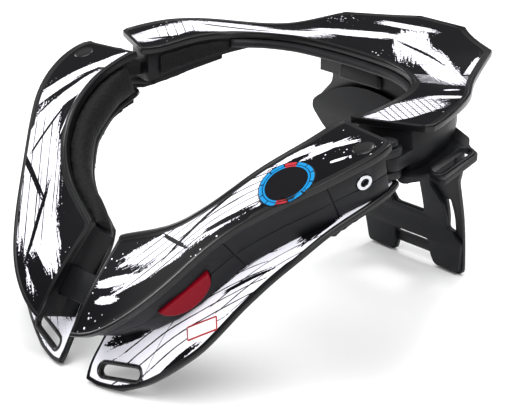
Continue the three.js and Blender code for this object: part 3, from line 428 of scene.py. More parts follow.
@dataclass(frozen=True)
class ClosedCellFoam(Finish):
    """Cut closed-cell EVA foam: dull dark grey with a fine cell speckle."""

    base: str = "#131417"
    cell: str = "#1c1d20"
    cell_mm: float = 0.9  # the real cells are 0.3 mm; drawn coarser to show
    roughness: float = 0.72

    def dress(self, tree: Tree, place: Socket) -> dict:
        """See Finish.dress."""
        cells = add_node(tree, "TexVoronoi", {"Vector": place, "Scale": 1 / (self.cell_mm * MM)})
        cloud = add_node(tree, "TexNoise", {"Vector": place, "Scale": 60.0, "Detail": 3.0})
        blend = add_node(tree, "Math", {0: cells, 1: 0.5, 2: cloud}, operation="MULTIPLY_ADD")
        spread = add_node(tree, "MapRange", {"Value": blend, "From Min": 0.45, "From Max": 1.0})
        low, high = self.roughness - 0.05, self.roughness + 0.08
        return {
            "Base Color": self.tint(tree, spread, self.base, self.cell),
            "Normal": add_node(tree, "Bump", {"Height": cells, "Strength": 0.25, "Distance": 0.15 * MM}),
            "Roughness": add_node(tree, "MapRange", {"Value": cloud, "To Min": low, "To Max": high}),
            "IOR": 1.48,
            "Specular IOR Level": 0.25,
        }


@dataclass(frozen=True)
class TurnedSteel(Finish):
    """Turned and polished stainless steel: bright with fine turning marks."""

    tone_low: str = "#b4b6ba"
    tone_high: str = "#dcdde0"

    def dress(self, tree: Tree, place: Socket) -> dict:
        """See Finish.dress."""
        marks = add_node(tree, "TexNoise", {"Vector": place, "Scale": 900.0, "Detail": 3.0})
        return {
            "Base Color": self.tint(tree, marks, self.tone_low, self.tone_high),
            "Roughness": add_node(tree, "MapRange", {"Value": marks, "To Min": 0.16, "To Max": 0.34}),
            "Metallic": 1.0,
        }


@dataclass(frozen=True)
class RedAcetal(Finish):
    """Injection-moulded red acetal: satin, with a faint flow mottle and a soft bright edge."""

    base: str = "#6e0213"
    flow: str = "#7e0619"

    def dress(self, tree: Tree, place: Socket) -> dict:
        """See Finish.dress."""
        flow = add_node(tree, "TexNoise", {"Vector": place, "Scale": 70.0, "Detail": 3.0})
        grain = add_node(tree, "TexNoise", {"Vector": place, "Scale": 1300.0, "Detail": 2.0})
        return {
            "Base Color": self.tint(tree, flow, self.base, self.flow),
            "Normal": add_node(tree, "Bump", {"Height": grain, "Strength": 0.12, "Distance": 0.1 * MM}),
            "Roughness": add_node(tree, "MapRange", {"Value": flow, "To Min": 0.34, "To Max": 0.48}),
            "Specular IOR Level": 0.14,
            "IOR": 1.48,
        }


@dataclass(frozen=True)
class RingDecal(Finish):
    """Printed vinyl disc: a blue ring cut into segments, two of them red, round a black field."""

    centre: Triple = (0.0, 0.0, 0.0)
    radius_mm: float = 15.8
    segments: int = 12
    red_segment: float = 2.0
    cut: float = 0.1  # share of a segment
    band: tuple[float, float] = (0.9, 0.06)  # middle and half breadth, as shares of the radius
    line: tuple[float, float] = (0.78, 0.03)
    first_turn: float = 40.3  # keeps the angle positive and sets where the cuts fall
    field_colour: str = "#0c0b0f"
    ring: str = "#1283c0"
    accent: str = "#b3303a"

    def dress(self, tree: Tree, place: Socket) -> dict:
        """See Finish.dress."""
        local = add_node(tree, "VectorMath", {0: place, 1: self.centre}, operation="SUBTRACT")
        length = add_node(tree, "VectorMath", {0: local}, operation="LENGTH").outputs["Value"]
        radius = add_node(tree, "Math", {0: length, 1: 1 / (self.radius_mm * MM)}, operation="MULTIPLY")
        axes = add_node(tree, "SeparateXYZ", {0: local}).outputs
        angle = add_node(tree, "Math", {0: axes[1], 1: axes[0]}, operation="ARCTAN2")
        per_radian = self.segments / (2 * math.pi)
        turn = add_node(tree, "Math", {0: angle, 1: per_radian, 2: self.first_turn}, operation="MULTIPLY_ADD")
        within = add_node(tree, "Math", {0: turn}, operation="FRACT")
        gap = add_node(tree, "Math", {0: within, 1: self.cut}, operation="GREATER_THAN")
        band = add_node(tree, "Math", {0: radius, 1: self.band[0], 2: self.band[1]}, operation="COMPARE")
        line = add_node(tree, "Math", {0: radius, 1: self.line[0], 2: self.line[1]}, operation="COMPARE")
        ring = add_node(tree, "Math", {0: band, 1: gap}, operation="MULTIPLY")
        count = add_node(tree, "Math", {0: turn}, operation="FLOOR")
        half_turn = add_node(tree, "Math", {0: count, 1: self.segments / 2}, operation="FLOORED_MODULO")
        red = add_node(tree, "Math", {0: half_turn, 1: self.red_segment, 2: 0.5}, operation="COMPARE")
        hue = self.tint(tree, red, self.ring, self.accent)
        shown = add_node(tree, "Math", {0: ring, 1: line}, operation="MAXIMUM")
        paint = add_node(tree, "Mix", {0: shown, 6: linear(self.field_colour), 7: hue}, data_type="RGBA")
        film = add_node(tree, "TexNoise", {"Vector": place, "Scale": 300.0, "Detail": 2.0})
        return {
            "Base Color": paint.outputs[2],
            "Roughness": add_node(tree, "MapRange", {"Value": film, "To Min": 0.3, "To Max": 0.42}),
            "IOR": 1.5,
            "Specular IOR Level": 0.1,
        }


@dataclass(frozen=True)
class PlainLabel(Finish):
    """Coated paper label: white with a thin printed border and slight yellowing."""

    centre: Triple = (0.0, 0.0, 0.0)
    across: Triple = (1.0, 0.0, 0.0)
    up: Triple = (0.0, 0.0, 1.0)
    half_mm: tuple[float, float] = (10.6, 4.2)
    border_mm: float = 1.1
    paper: str = "#f4f3f2"
    aged: str = "#eceae6"
    border: str = "#9c1420"

    def dress(self, tree: Tree, place: Socket) -> dict:
        """See Finish.dress."""
        local = add_node(tree, "VectorMath", {0: place, 1: self.centre}, operation="SUBTRACT")
        edges = []
        for axis, half in zip((self.across, self.up), self.half_mm):
            along = add_node(tree, "VectorMath", {0: local, 1: axis}, operation="DOT_PRODUCT").outputs["Value"]
            size = add_node(tree, "Math", {0: along}, operation="ABSOLUTE")
            inner = (half - self.border_mm) * MM
            edges.append(add_node(tree, "Math", {0: size, 1: inner}, operation="GREATER_THAN"))
        border = add_node(tree, "Math", {0: edges[0], 1: edges[1]}, operation="MAXIMUM")
        age = add_node(tree, "TexNoise", {"Vector": place, "Scale": 120.0, "Detail": 2.0})
        white = self.tint(tree, age, self.paper, self.aged)
        paint = add_node(tree, "Mix", {0: border, 6: white, 7: linear(self.border)}, data_type="RGBA")
        rough = add_node(tree, "MapRange", {"Value": age, "To Min": 0.35, "To Max": 0.5})
        return {"Base Color": paint.outputs[2], "Roughness": rough}


@dataclass(frozen=True)
class StudioFloor(Finish):
    """Matt white paper sweep."""

    base: str = "#f7f7f7"
    shade: str = "#f3f3f4"

    def dress(self, tree: Tree, place: Socket) -> dict:
        """See Finish.dress."""
        fibre = add_node(tree, "TexNoise", {"Vector": place, "Scale": 8.0, "Detail": 2.0})
        paper = self.tint(tree, fibre, self.base, self.shade)
        return {"Base Color": paper, "Roughness": 0.9, "Specular IOR Level": 0.1}


# ---- the print: generic brush pulls and thin ruled lines, laid out for this model


def pulls(tone: Tone, ragged: float, *rows: tuple[float, ...]) -> tuple[Stroke, ...]:
    """Gives full strokes.

    Args:
        tone: their ink.
        ragged: how torn they are.
        *rows: x, y, run, breadth and turn of each.

    Returns:
        The strokes, in order.
    """
    return tuple(Stroke(*row, tone=tone, ragged=ragged) for row in rows)


def hatches(tone: Tone, *rows: tuple[float, ...]) -> tuple[Stroke, ...]:
    """Gives patches of thin ruled lines.

    Args:
        tone: their ink.
        *rows: x, y, run, breadth, turn, pitch and, where it isn't the usual one, line width of each.

    Returns:
        The patches, in order.
    """
    return tuple(Stroke(*row[:5], tone, *row[5:]) for row in rows)


W, B = Tone.WHITE, Tone.BLACK
LEFT_ARM_PRINT = (
    *pulls(W, 4.0, (80, -88, 44, 22, 42)),
    *pulls(W, 4.4, (62, -103, 50, 19, 36)),
    *pulls(W, 4.2, (74, -80, 40, 9, 50), (44, -110, 40, 8, 28), (50, -120, 38, 5, 30)),
    *pulls(W, 4.2, (30, -126, 26, 4, 16), (31, -133, 15, 3, 12)),
    *hatches(B, (72, -94, 92, 34, 41, 4.0), (70, -95, 36, 76, 41, 12.0)),
    *pulls(B, 3.4, (66, -99, 40, 2.2, 56)),
    *pulls(B, 3.6, (86, -94, 26, 3.0, 34)),
    *pulls(B, 3.4, (56, -107, 24, 1.6, -8)),
    *pulls(W, 4.2, (104, -45, 24, 4.6, 66), (98, -49, 18, 3.2, 60), (110, -38, 13, 3, 48)),
    *pulls(W, 4.2, (92, -56, 20, 3.6, 68), (117, -50, 8, 2, 52)),
)
RIGHT_ARM_PRINT = (
    *pulls(W, 4.2, (-101, -46, 60, 7, 66)),
    *pulls(W, 4.0, (-92, -66, 48, 11, 80)),
    *pulls(W, 4.2, (-86, -38, 36, 5, 20), (-109, -72, 40, 8, 72)),
    *pulls(W, 3.2, (-86, -94, 44, 22, -50), (-66, -110, 48, 27, -38)),
    *pulls(W, 3.6, (-42, -125, 46, 20, -28)),
    *hatches(W, (-76, -78, 66, 12, -62, 3.2)),
    *hatches(B, (-70, -106, 70, 32, -42, 5.2), (-60, -112, 30, 60, -42, 11.0)),
    *pulls(B, 3.4, (-74, -108, 40, 2.4, -16)),
    *pulls(B, 3.6, (-52, -120, 34, 3, -60), (-28, -136, 34, 7, -14)),
    *pulls(B, 3.4, (-86, -88, 30, 2, -84), (-100, -70, 40, 1.8, 84)),
)
CHEST_PRINT = (
    *pulls(W, 0.1, (0.0, -100.0, 600, 600, 0)),
    *hatches(B, (66, -104, 96, 26, 29, 3.6, 0.45), (102, -80, 60, 22, 43, 4.4, 0.45)),
    *pulls(B, 3.2, (34, -117, 34, 6, 20)),
    *pulls(B, 3.1, (36, -136, 36, 5, 8)),
    *pulls(B, 3.2, (62, -124, 44, 2.6, 30)),
    *pulls(B, 2.9, (94, -90, 26, 1.6, 30), (60, -106, 34, 1.6, 27)),
    *pulls(B, 2.3, (115, -58, 26, 10, 72)),
    *hatches(B, (56, -112, 50, 24, 64, 13.0, 0.5)),
)
REAR_PRINT = (
    *pulls(W, 3.6, (-108, 16, 52, 19, 82)),
    *pulls(W, 3.2, (-92, 46, 60, 22, 44)),
    *pulls(W, 4.0, (-58, 66, 60, 15, 20)),
    *hatches(B, (-104, 20, 40, 24, -30, 5.5)),
    *pulls(B, 3.6, (-84, 52, 50, 3, 30), (-100, 10, 26, 3, 56)),
    *pulls(W, 3.2, (103, 10, 44, 25, 72)),
    *pulls(W, 2.7, (90, -5, 24, 10, 66)),
    *hatches(B, (104, 12, 46, 25, 62, 2.9, 0.6), (106, 14, 32, 40, -26, 3.4, 0.6)),
    *pulls(W, 4.2, (106, 38, 20, 6, 44), (97, 52, 9, 3, 66)),
    *pulls(W, 3.6, (58, 82, 66, 20, -28)),
    *pulls(W, 4.0, (22, 98, 62, 22, -46)),
    *pulls(W, 4.2, (-22, 92, 60, 13, 26)),
    *hatches(B, (42, 90, 76, 34, 56, 5.0)),
    *pulls(B, 3.6, (34, 92, 50, 3, -14)),
    *hatches(W, (84, 74, 54, 22, 52, 2.6, 0.6)),
    *pulls(W, 4.2, (-8, 124, 40, 9, 10), (70, 98, 26, 4, -64)),
)


# ---- pieces


@dataclass
class Wardrobe:
    """The materials of the brace, made once."""

    shell: Material = field(init=False)
    edge: Material = field(init=False)
    knit: Material = field(init=False)
    foam: Material = field(init=False)
    back_foam: Material = field(init=False)
    lip: Material = field(init=False)
    steel: Material = field(init=False)
    red: Material = field(init=False)

    def __post_init__(self) -> None:
        """Builds every shared material."""
        self.shell = MouldedNylon("glass_filled_nylon").build()
        self.edge = PolishedEdge("gloss_moulded_edge").build()
        self.knit = RibKnit("warp_knit_spacer").build()
        self.foam = ClosedCellFoam("cut_eva_foam").build()
        self.back_foam = ClosedCellFoam("skinned_eva_foam", base="#0e0f12", cell="#16171a", roughness=0.6).build()
        self.lip = ClosedCellFoam("moulded_soft_lip", base="#0e0e10", cell="#18181b", roughness=0.5).build()
        self.steel = TurnedSteel("turned_stainless").build()
        self.red = RedAcetal("red_acetal").build()


@dataclass
class Shell:
    """A hard piece that stands for one CAD node: its corners are eased and its faces smoothed."""

    node: str
    body: str
    slot: str
    material: Material
    levels: int = 2
    bevel_mm: float = 0.35
    crease_deg: float = 27.0
    facing: Triple | None = None
    name_end: str = "_shell"
    top_cosine: float = 0.68  # a face this square to facing carries print
    under_cosine: float = -0.6  # a face this far turned away is the underside
    point_cosine: float = 0.1  # a point on the top edge has to look at least this way

    def build(self, frame: dict) -> Object:
        """Makes the piece.


        Returns:
            The new object.
        """
        bm = joined_copy(frame["nodes"][self.node])
        sharp = self.mark_creases(bm)
        obj = new_object(self.node + self.name_end, bm)
        obj.data.materials.append(self.material)
        if self.bevel_mm:
            bevel = obj.modifiers.new("eased_corners", "BEVEL")
            bevel.width = self.bevel_mm * MM
            bevel.segments = 2
            bevel.limit_method = "ANGLE"
            bevel.angle_limit = math.radians(self.crease_deg + 8)
        if self.levels:
            smooth = obj.modifiers.new("smooth_faces", "SUBSURF")
            smooth.levels = smooth.render_levels = self.levels
        if self.facing is not None:
            applied(obj)
            self.measure_rim(obj, Vector(self.facing).normalized())
        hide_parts(self.node)
        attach(obj, self.body)
        log.info("%s: %d sharp edges", obj.name, sharp)
        return obj

    def mark_creases(self, bm: bmesh.types.BMesh) -> int:
        """Keeps the real corners of a mesh sharp, and the run of its smooth edges free.

        Args:
            bm: mesh to mark.

        Returns:
            How many edges stay sharp.
        """
        layer = bm.edges.layers.float.get("crease_edge") or bm.edges.layers.float.new("crease_edge")
        limit = math.radians(self.crease_deg)
        count = 0
        for edge in bm.edges:
            if len(edge.link_faces) == 2 and edge.calc_face_angle(0.0) > limit:
                edge[layer] = 1.0
                count += 1
        return count

    def measure_rim(self, obj: Object, facing: Vector) -> None:
        """Stores each top point's distance from the deck's outer edge, 0 on its sides and underside.

        Args:
            obj: deck object, its modifiers applied.
            facing: mean direction that the printed face looks to.
        """
        bm = bmesh.new()
        bm.from_mesh(obj.data)
        bm.faces.ensure_lookup_table()
        bm.normal_update()
        top = [face.normal.dot(facing) > self.top_cosine for face in bm.faces]
        outer = {f.index for f in bm.faces if f.normal.dot(facing) < self.under_cosine}
        queue = list(outer)
        while queue:
            face = bm.faces[queue.pop()]
            for edge in face.edges:
                for other in edge.link_faces:
                    if not top[other.index] and other.index not in outer:
                        outer.add(other.index)
                        queue.append(other.index)
        marks = []
        for edge in bm.edges:
            kinds = {(top[f.index], f.index in outer) for f in edge.link_faces}
            if (True, False) in kinds and (False, True) in kinds:
                a, b = (v.co for v in edge.verts)
                marks += [a.lerp(b, i / 4) for i in range(5)]
        tree = KDTree(len(marks))
        for i, mark in enumerate(marks):
            tree.insert(mark, i)
        tree.balance()
        values = []
        for vert in bm.verts:
            on_top = any(top[f.index] for f in vert.link_faces)
            printed = on_top and vert.normal.dot(facing) > self.point_cosine
            values.append(tree.find(vert.co)[2] if printed else 0.0)
        bm.free()
        layer = obj.data.attributes.new("rim_distance", "FLOAT", "POINT")
        layer.data.foreach_set("value", values)


@dataclass
class Cushion:
    """A stuffed or foam piece that stands for one CAD node, swollen by a cloth simulation."""

    node: str
    body: str
    slot: str
    material: Material
    voxel_mm: float = 1.6
    cap_mm: float = 1.2
    shrink_mm: float = 0.5
    frames: int = 12
    pressure: float = 4.0
    fill: float = 0.8

    def build(self, frame: dict) -> Object:
        """Makes the cushion.


        Returns:
            The new object.
        """
        bm = joined_copy(frame["nodes"][self.node])
        bm.normal_update()
        for vert in bm.verts:
            vert.co -= vert.normal * self.shrink_mm * MM
        obj = new_object(self.node + "_cushion", bm)
        remesh = obj.modifiers.new("even_mesh", "REMESH")
        remesh.mode = "VOXEL"
        remesh.voxel_size = self.voxel_mm * MM
        remesh.use_smooth_shade = True
        relax = obj.modifiers.new("relaxed", "SMOOTH")
        relax.iterations = 4
        applied(obj)
        self.swell(obj)
        fine = obj.modifiers.new("fine", "SUBSURF")
        fine.levels = fine.render_levels = 1
        obj.data.materials.clear()
        obj.data.materials.append(self.material)
        for polygon in obj.data.polygons:
            polygon.use_smooth = True
        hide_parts(self.node)
        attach(obj, self.body)
        log.info("%s: %d points", obj.name, len(obj.data.vertices))
        return obj

    def swell(self, obj: Object) -> None:
        """Fills the piece by a short cloth simulation, with the move of each point capped.

        Args:
            obj: cushion mesh.
        """
        scene = bpy.context.scene
        start = [v.co.copy() for v in obj.data.vertices]
        cloth = obj.modifiers.new("fill", "CLOTH")
        cloth.settings.quality = 4
        cloth.settings.mass = 0.2
        cloth.settings.tension_stiffness = 20
        cloth.settings.compression_stiffness = 20
        cloth.settings.bending_stiffness = 0.5
        cloth.settings.use_pressure = True
        cloth.settings.uniform_pressure_force = self.pressure
        cloth.settings.effector_weights.gravity = 0
        cloth.point_cache.frame_start = 1
        cloth.point_cache.frame_end = self.frames
        for step in range(1, self.frames + 1):
            scene.frame_set(step)
        graph = bpy.context.evaluated_depsgraph_get()
        moved = obj.evaluated_get(graph).to_mesh()
        ends = [v.co.copy() for v in moved.vertices]
        obj.evaluated_get(graph).to_mesh_clear()
        obj.modifiers.clear()
        drift = sum(((b - a) for a, b in zip(start, ends)), Vector()) / max(1, len(start))
        for vert, a, b in zip(obj.data.vertices, start, ends):
            step_by = b - a - drift
            if step_by.length > self.cap_mm * MM:
                step_by.length = self.cap_mm * MM
            vert.co = a + step_by
        scene.frame_set(1)


def ring_points(length_mm: float, width_mm: float, per_end: int = 14) -> list[tuple[float, float]]:
    """Gives a closed slot outline, long side along x.

    Args:
        length_mm: overall length.
        width_mm: overall width.
        per_end: points on each round end.

    Returns:
        Points in millimetres, in order.
    """
    r, half = width_mm / 2, length_mm / 2 - width_mm / 2
    out = []
    for centre, start in ((half, -90.0), (-half, 90.0)):
        for i in range(per_end + 1):
            a = math.radians(start + 180 * i / per_end)
            out.append((centre + r * math.cos(a), r * math.sin(a)))
    return out


@dataclass
class SlotBead:
    """The soft raised bead round a strap slot, placed by the slot's mount in the record."""

    name: str
    body: str
    material: Material
    mount: str
    along: Vector
    slot: str = "dark_shell"
    length_mm: float = 31.4
    width_mm: float = 8.4
    half_width_mm: float = 1.0
    rise_mm: float = 0.7
    sunk_mm: float = 0.5
    reach_mm: float = 8.0
    points: int = 8

    def build(self, frame: dict, carrier: Object) -> Object:
        """Makes the bead on its plate.

        Args:
            carrier: plate that the bead lies on.

        Returns:
            The new object.
        """
        mount = next(m for m in frame["record"]["mounts"] if m["name"] == self.mount)
        centre, normal = Vector(mount["pos_m"]), Vector(mount["axis"]).normalized()
        along = (self.along - normal * self.along.dot(normal)).normalized()
        tree = surface_of(carrier)
        across = normal.cross(along).normalized()
        path = [centre + along * x * MM + across * y * MM for x, y in ring_points(self.length_mm, self.width_mm)]
        seated = []
        for point in path:
            hit = tree.ray_cast(point + normal * self.reach_mm * MM, -normal, 2 * self.reach_mm * MM)
            seated.append(hit[0] if hit[0] is not None else point)
        bm = bmesh.new()
        rings = []
        for i, point in enumerate(seated):
            ahead = (seated[(i + 1) % len(seated)] - seated[i - 1]).normalized()
            side = ahead.cross(normal).normalized()
            ring = []
            for k in range(self.points):
                a = 2 * math.pi * k / self.points
                rise = math.sin(a) * (self.rise_mm if math.sin(a) > 0 else self.sunk_mm) * MM
                ring.append(bm.verts.new(point + side * math.cos(a) * self.half_width_mm * MM + normal * rise))
            rings.append(ring)
        for i, ring in enumerate(rings):
            following = rings[(i + 1) % len(rings)]
            for k in range(self.points):
                j = (k + 1) % self.points
                bm.faces.new((ring[k], ring[j], following[j], following[k]))
        obj = new_object(self.name, bm)
        obj.data.materials.append(self.material)
        smooth = obj.modifiers.new("smooth_faces", "SUBSURF")
        smooth.levels = smooth.render_levels = 1
        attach(obj, self.body)
        log.info("%s", obj.name)
        return obj


@dataclass
class SeatedPatch:
    """A thin closed patch that follows the surface it is stuck on."""

    name: str
    body: str
    slot: str
    material: Material
    centre: Vector
    along: Vector
    normal: Vector
    lift_mm: float = 10.0  # the search for the surface starts this high
    reach_mm: float = 25.0
    base_mm: float = 0.4

    def seat(self, carrier: Object, rings: Rings) -> Object:
        """Builds the patch from rings of points, the outermost last, closed below the surface.

        Args:
            carrier: object it lies on.
            rings: the patch's rings, of which the first is its middle point.

        Returns:
            The new object.
        """
        tree = surface_of(carrier)
        across = self.normal.cross(self.along).normalized()
        bm = bmesh.new()
        made = []
        for ring in rings:
            row = []
            for x, y, height in ring:
                point = self.centre + self.along * x * MM + across * y * MM
                hit = tree.ray_cast(point + self.normal * self.lift_mm * MM, -self.normal, self.reach_mm * MM)
                ground = hit[0] if hit[0] is not None else point
                row.append(bm.verts.new(ground + self.normal * height * MM))
            made.append(row)
        count = len(made[-1])
        for inner, outer in zip(made, made[1:]):
            for k in range(count):
                j = (k + 1) % count
                if len(inner) == 1:
                    bm.faces.new((inner[0], outer[k], outer[j]))
                else:
                    bm.faces.new((inner[k], outer[k], outer[j], inner[j]))
        middle = sum((v.co for v in made[-1]), Vector()) / count
        base = bm.verts.new(middle - self.normal * self.base_mm * MM)
        for k in range(count):
            bm.faces.new((made[-1][(k + 1) % count], made[-1][k], base))
        obj = new_object(self.name, bm)
        obj.data.materials.append(self.material)
        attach(obj, self.body)
        log.info("%s", obj.name)
        return obj


def disc_rings(radii: list[tuple[float, float]], points: int = 64) -> Rings:
    """Gives rings for a round patch.

    Args:
        radii: radius and height of each ring, in millimetres; the first is the middle point.
        points: points on a ring.

    Returns:
        Rings for SeatedPatch.seat.
    """
    rings = [[(0.0, 0.0, radii[0][1])]]
    for radius, height in radii[1:]:
        turns = [2 * math.pi * k / points for k in range(points)]
        rings.append([(radius * math.cos(a), radius * math.sin(a), height) for a in turns])
    return rings


def plate_rings(half_x: float, half_y: float, corner: float, heights: list[tuple[float, float]]) -> Rings:
    """Gives rings for a rounded rectangular patch.

    Args:
        half_x: half length in millimetres.
        half_y: half width in millimetres.
        corner: corner radius in millimetres.
        heights: share of the size and height of each ring, from the middle out.

    Returns:
        Rings for SeatedPatch.seat.
    """
    steps = 6
    outline = []
    for sx, sy, start in ((1, 1, 0), (-1, 1, 90), (-1, -1, 180), (1, -1, 270)):
        cx, cy = sx * (half_x - corner), sy * (half_y - corner)
        for i in range(steps + 1):
            a = math.radians(start + 90 * i / steps)
            outline.append((cx + corner * math.cos(a), cy + corner * math.sin(a)))
    rings = [[(0.0, 0.0, heights[0][1])]]
    for share, height in heights[1:]:
        rings.append([(x * share, y * share, height) for x, y in outline])
    return rings


# ---- sub-assemblies


@dataclass
class FrontArm:
    """One hinged front arm: deck, side walls, inner pad, chest plate, its foam and the eyelet."""

    side: Side
    wardrobe: Wardrobe
    boss_centre: Triple = (0.1218, -0.0371, 0.139)
    boss_normal: Triple = (0.0, -0.25, 0.97)
    boss_radius_mm: float = 6.0
    chest_slot_along: Triple = (0.974, 0.085, 0.211)
    decal_centre: Triple = (0.1028, -0.0721, 0.1236)
    decal_normal: Triple = (-0.01, -0.49, 0.87)
    label_centre: Triple = (0.0797, -0.1085, 0.0468)
    label_normal: Triple = (-0.02, -0.84, 0.54)
    label_along: Triple = (0.80, 0.32, 0.50)
    label_corner_mm: float = 1.2
    film_mm: float = 0.16  # height of the decal and the label over the shell

    def mirrored(self, values: Triple) -> Vector:
        """Gives a vector on this arm's side."""
        return Vector((values[0] * self.side.value, values[1], values[2]))

    def build(self, frame: dict) -> None:
        """Makes the arm's pieces.
        """
        tag, body, kit = self.side.tag, f"{self.side.tag}_arm", self.wardrobe
        prints = LEFT_ARM_PRINT if self.side is Side.LEFT else RIGHT_ARM_PRINT
        film = PrintedFilm(f"printed_film_arm_{tag}", strokes=prints).build()
        sign = self.side.value
        chest_strokes = tuple(replace(s, x=s.x * sign, turn=s.turn * sign) for s in CHEST_PRINT)
        chest_film = PrintedFilm(f"printed_film_chest_{tag}", strokes=chest_strokes).build()
        deck = Shell(f"arm_deck_{tag}", body, "printed_shell", film, facing=(0, -0.55, 0.84)).build(frame)
        Shell(f"arm_core_{tag}", body, "dark_shell", kit.shell, levels=0, bevel_mm=0.5).build(frame)
        chest = Shell(f"chest_plate_{tag}", body, "printed_shell", chest_film,
                      facing=(0, -0.68, 0.73)).build(frame)
        Cushion(f"arm_pad_{tag}", body, "rib_mesh", kit.knit).build(frame)
        Cushion(f"chest_foam_{tag}", body, "foam", kit.foam, fill=1.0, cap_mm=0.5).build(frame)
        Shell(f"side_eyelet_{tag}", body, "steel", kit.steel, levels=0, bevel_mm=0.3).build(frame)
        self.boss(deck, film)
        SlotBead(
            f"chest_slot_bead_{tag}", body, kit.edge, f"chest_strap_slot_{tag}", self.mirrored(self.chest_slot_along)
        ).build(frame, chest)
        if self.side is Side.LEFT:
            self.decal(deck)
            self.label(chest)

    def boss(self, deck: Object, film: Material) -> None:
        """Raises the round boss over the hinge.

        Args:
            deck: arm deck.
            film: its printed film.
        """
        r = self.boss_radius_mm
        patch = SeatedPatch(
            f"hinge_boss_{self.side.tag}", f"{self.side.tag}_arm", "printed_shell", film,
            self.mirrored(self.boss_centre), Vector((1, 0, 0)), self.mirrored(self.boss_normal).normalized(),
        )
        rings = [(0.0, 0.9), (r * 0.4, 0.88), (r * 0.72, 0.75), (r * 0.9, 0.45), (r, 0.1), (r * 1.03, -0.25)]
        patch.seat(deck, disc_rings(rings, 40))

    def decal(self, deck: Object) -> None:
        """Sticks the ring decal on the arm deck.

        Args:
            deck: arm deck.
        """
        centre = Vector(self.decal_centre)
        finish = RingDecal("printed_vinyl_ring", centre=tuple(centre))
        r, top = finish.radius_mm, self.film_mm
        normal = Vector(self.decal_normal).normalized()
        along = Vector((1, 0, 0)) - normal * normal.x
        rings = [(r * i / 8, top) for i in range(8)] + [(r - 0.1, top - 0.02), (r + 0.1, -0.15)]
        SeatedPatch(
            "ring_decal", "left_arm", "printed_shell", finish.build(), centre, along.normalized(), normal
        ).seat(deck, disc_rings(rings, 72))

    def label(self, chest: Object) -> None:
        """Sticks the plain label on the chest plate.

        Args:
            chest: chest plate.
        """
        normal = Vector(self.label_normal).normalized()
        along = Vector(self.label_along)
        along = (along - normal * along.dot(normal)).normalized()
        up = normal.cross(along).normalized()
        finish = PlainLabel("coated_paper_label", centre=self.label_centre, across=tuple(along), up=tuple(up))
        top = self.film_mm
        heights = [(0.0, top), (0.35, top), (0.7, top), (0.97, top - 0.01), (1.0, -0.15)]
        SeatedPatch(
            "plain_label", "left_arm", "printed_shell", finish.build(), Vector(self.label_centre), along, normal
        ).seat(chest, plate_rings(*finish.half_mm, self.label_corner_mm, heights))


@dataclass
class RearHalf:
    """The rear half: printed deck, core, collar lip, side pads and strap plates."""

    wardrobe: Wardrobe
    strap_slot_along: Triple = (-0.119, 0.993, 0.19)
    lock_half_mm: Triple = (17.5, 1.9, 5.2)
    lock_centre_mm: Triple = (0.0, 77.6, 130.6)

    def build(self, frame: dict) -> None:
        """Makes the rear half's pieces.
        """
        kit = self.wardrobe
        film = PrintedFilm("printed_film_rear", strokes=REAR_PRINT).build()
        Shell("rear_deck", "collar", "printed_shell", film, facing=(0, 0, 1)).build(frame)
        Shell("rear_core", "collar", "dark_shell", kit.shell, levels=0, bevel_mm=0.5).build(frame)
        lip = Shell("collar_lip", "collar", "soft_edge", kit.lip, bevel_mm=0.0, crease_deg=60,
                    name_end="_roll").build(frame)
        for side in Side:
            tag = side.tag
            Cushion(f"rear_pad_{tag}", "collar", "rib_mesh", kit.knit, voxel_mm=1.0, shrink_mm=0.15,
                    cap_mm=0.5).build(frame)
            Cushion(f"strap_foam_{tag}", "collar", "foam", kit.foam, fill=1.0, cap_mm=0.5).build(frame)
            plate = Shell(f"strap_plate_{tag}", "collar", "dark_shell", kit.shell, levels=0, bevel_mm=0.7).build(frame)
            Shell(f"hinge_pin_{tag}", "collar", "dark_shell", kit.shell, levels=0, bevel_mm=0.3).build(frame)
            along = Vector(self.strap_slot_along)
            along.x *= side.value
            SlotBead(
                f"strap_slot_bead_{tag}", "collar", kit.shell, f"rear_strap_slot_{tag}", along,
                length_mm=32.0, width_mm=9.0, half_width_mm=1.3, rise_mm=0.8,
            ).build(frame, plate)
        self.lock_block()

    def lock_block(self) -> None:
        """Adds the block that locks the back support under the collar."""
        centre = Vector(self.lock_centre_mm) * MM
        hx, hy, hz = (v * MM for v in self.lock_half_mm)
        bm = bmesh.new()
        rows = []
        outline = ((-1, -1), (-0.62, -1), (0.62, -1), (1, -1), (1, 0.25), (0.82, 1), (-0.82, 1), (-1, 0.25))
        for y, inset in ((hy, 0.0), (-hy * 0.55, 0.0), (-hy, 1.1 * MM)):
            corners = [Vector((x * (hx - inset), y, z * (hz - inset))) for x, z in outline]
            rows.append([bm.verts.new(centre + corner) for corner in corners])
        for first, second in zip(rows, rows[1:]):
            for k in range(len(outline)):
                j = (k + 1) % len(outline)
                bm.faces.new((first[k], first[j], second[j], second[k]))
        bm.faces.new(rows[0])
        bm.faces.new(rows[-1])
        obj = new_object("back_lock_block", bm)
        obj.data.materials.append(self.wardrobe.shell)
        bevel = obj.modifiers.new("eased_corners", "BEVEL")
        bevel.width = 0.5 * MM
        bevel.segments = 2
        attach(obj, "collar")
        log.info("%s", obj.name)


@dataclass
class BackSupport:
    """The bent back support and its stepped pad."""

    wardrobe: Wardrobe

    def build(self, frame: dict) -> None:
        """Makes the plate and its pad.
        """
        Shell("back_plate", "collar", "dark_shell", self.wardrobe.shell, levels=0, bevel_mm=0.6).build(frame)
        pad = Shell("back_pad", "collar", "foam", self.wardrobe.back_foam, levels=0, bevel_mm=0.9,
                    name_end="_cushion").build(frame)


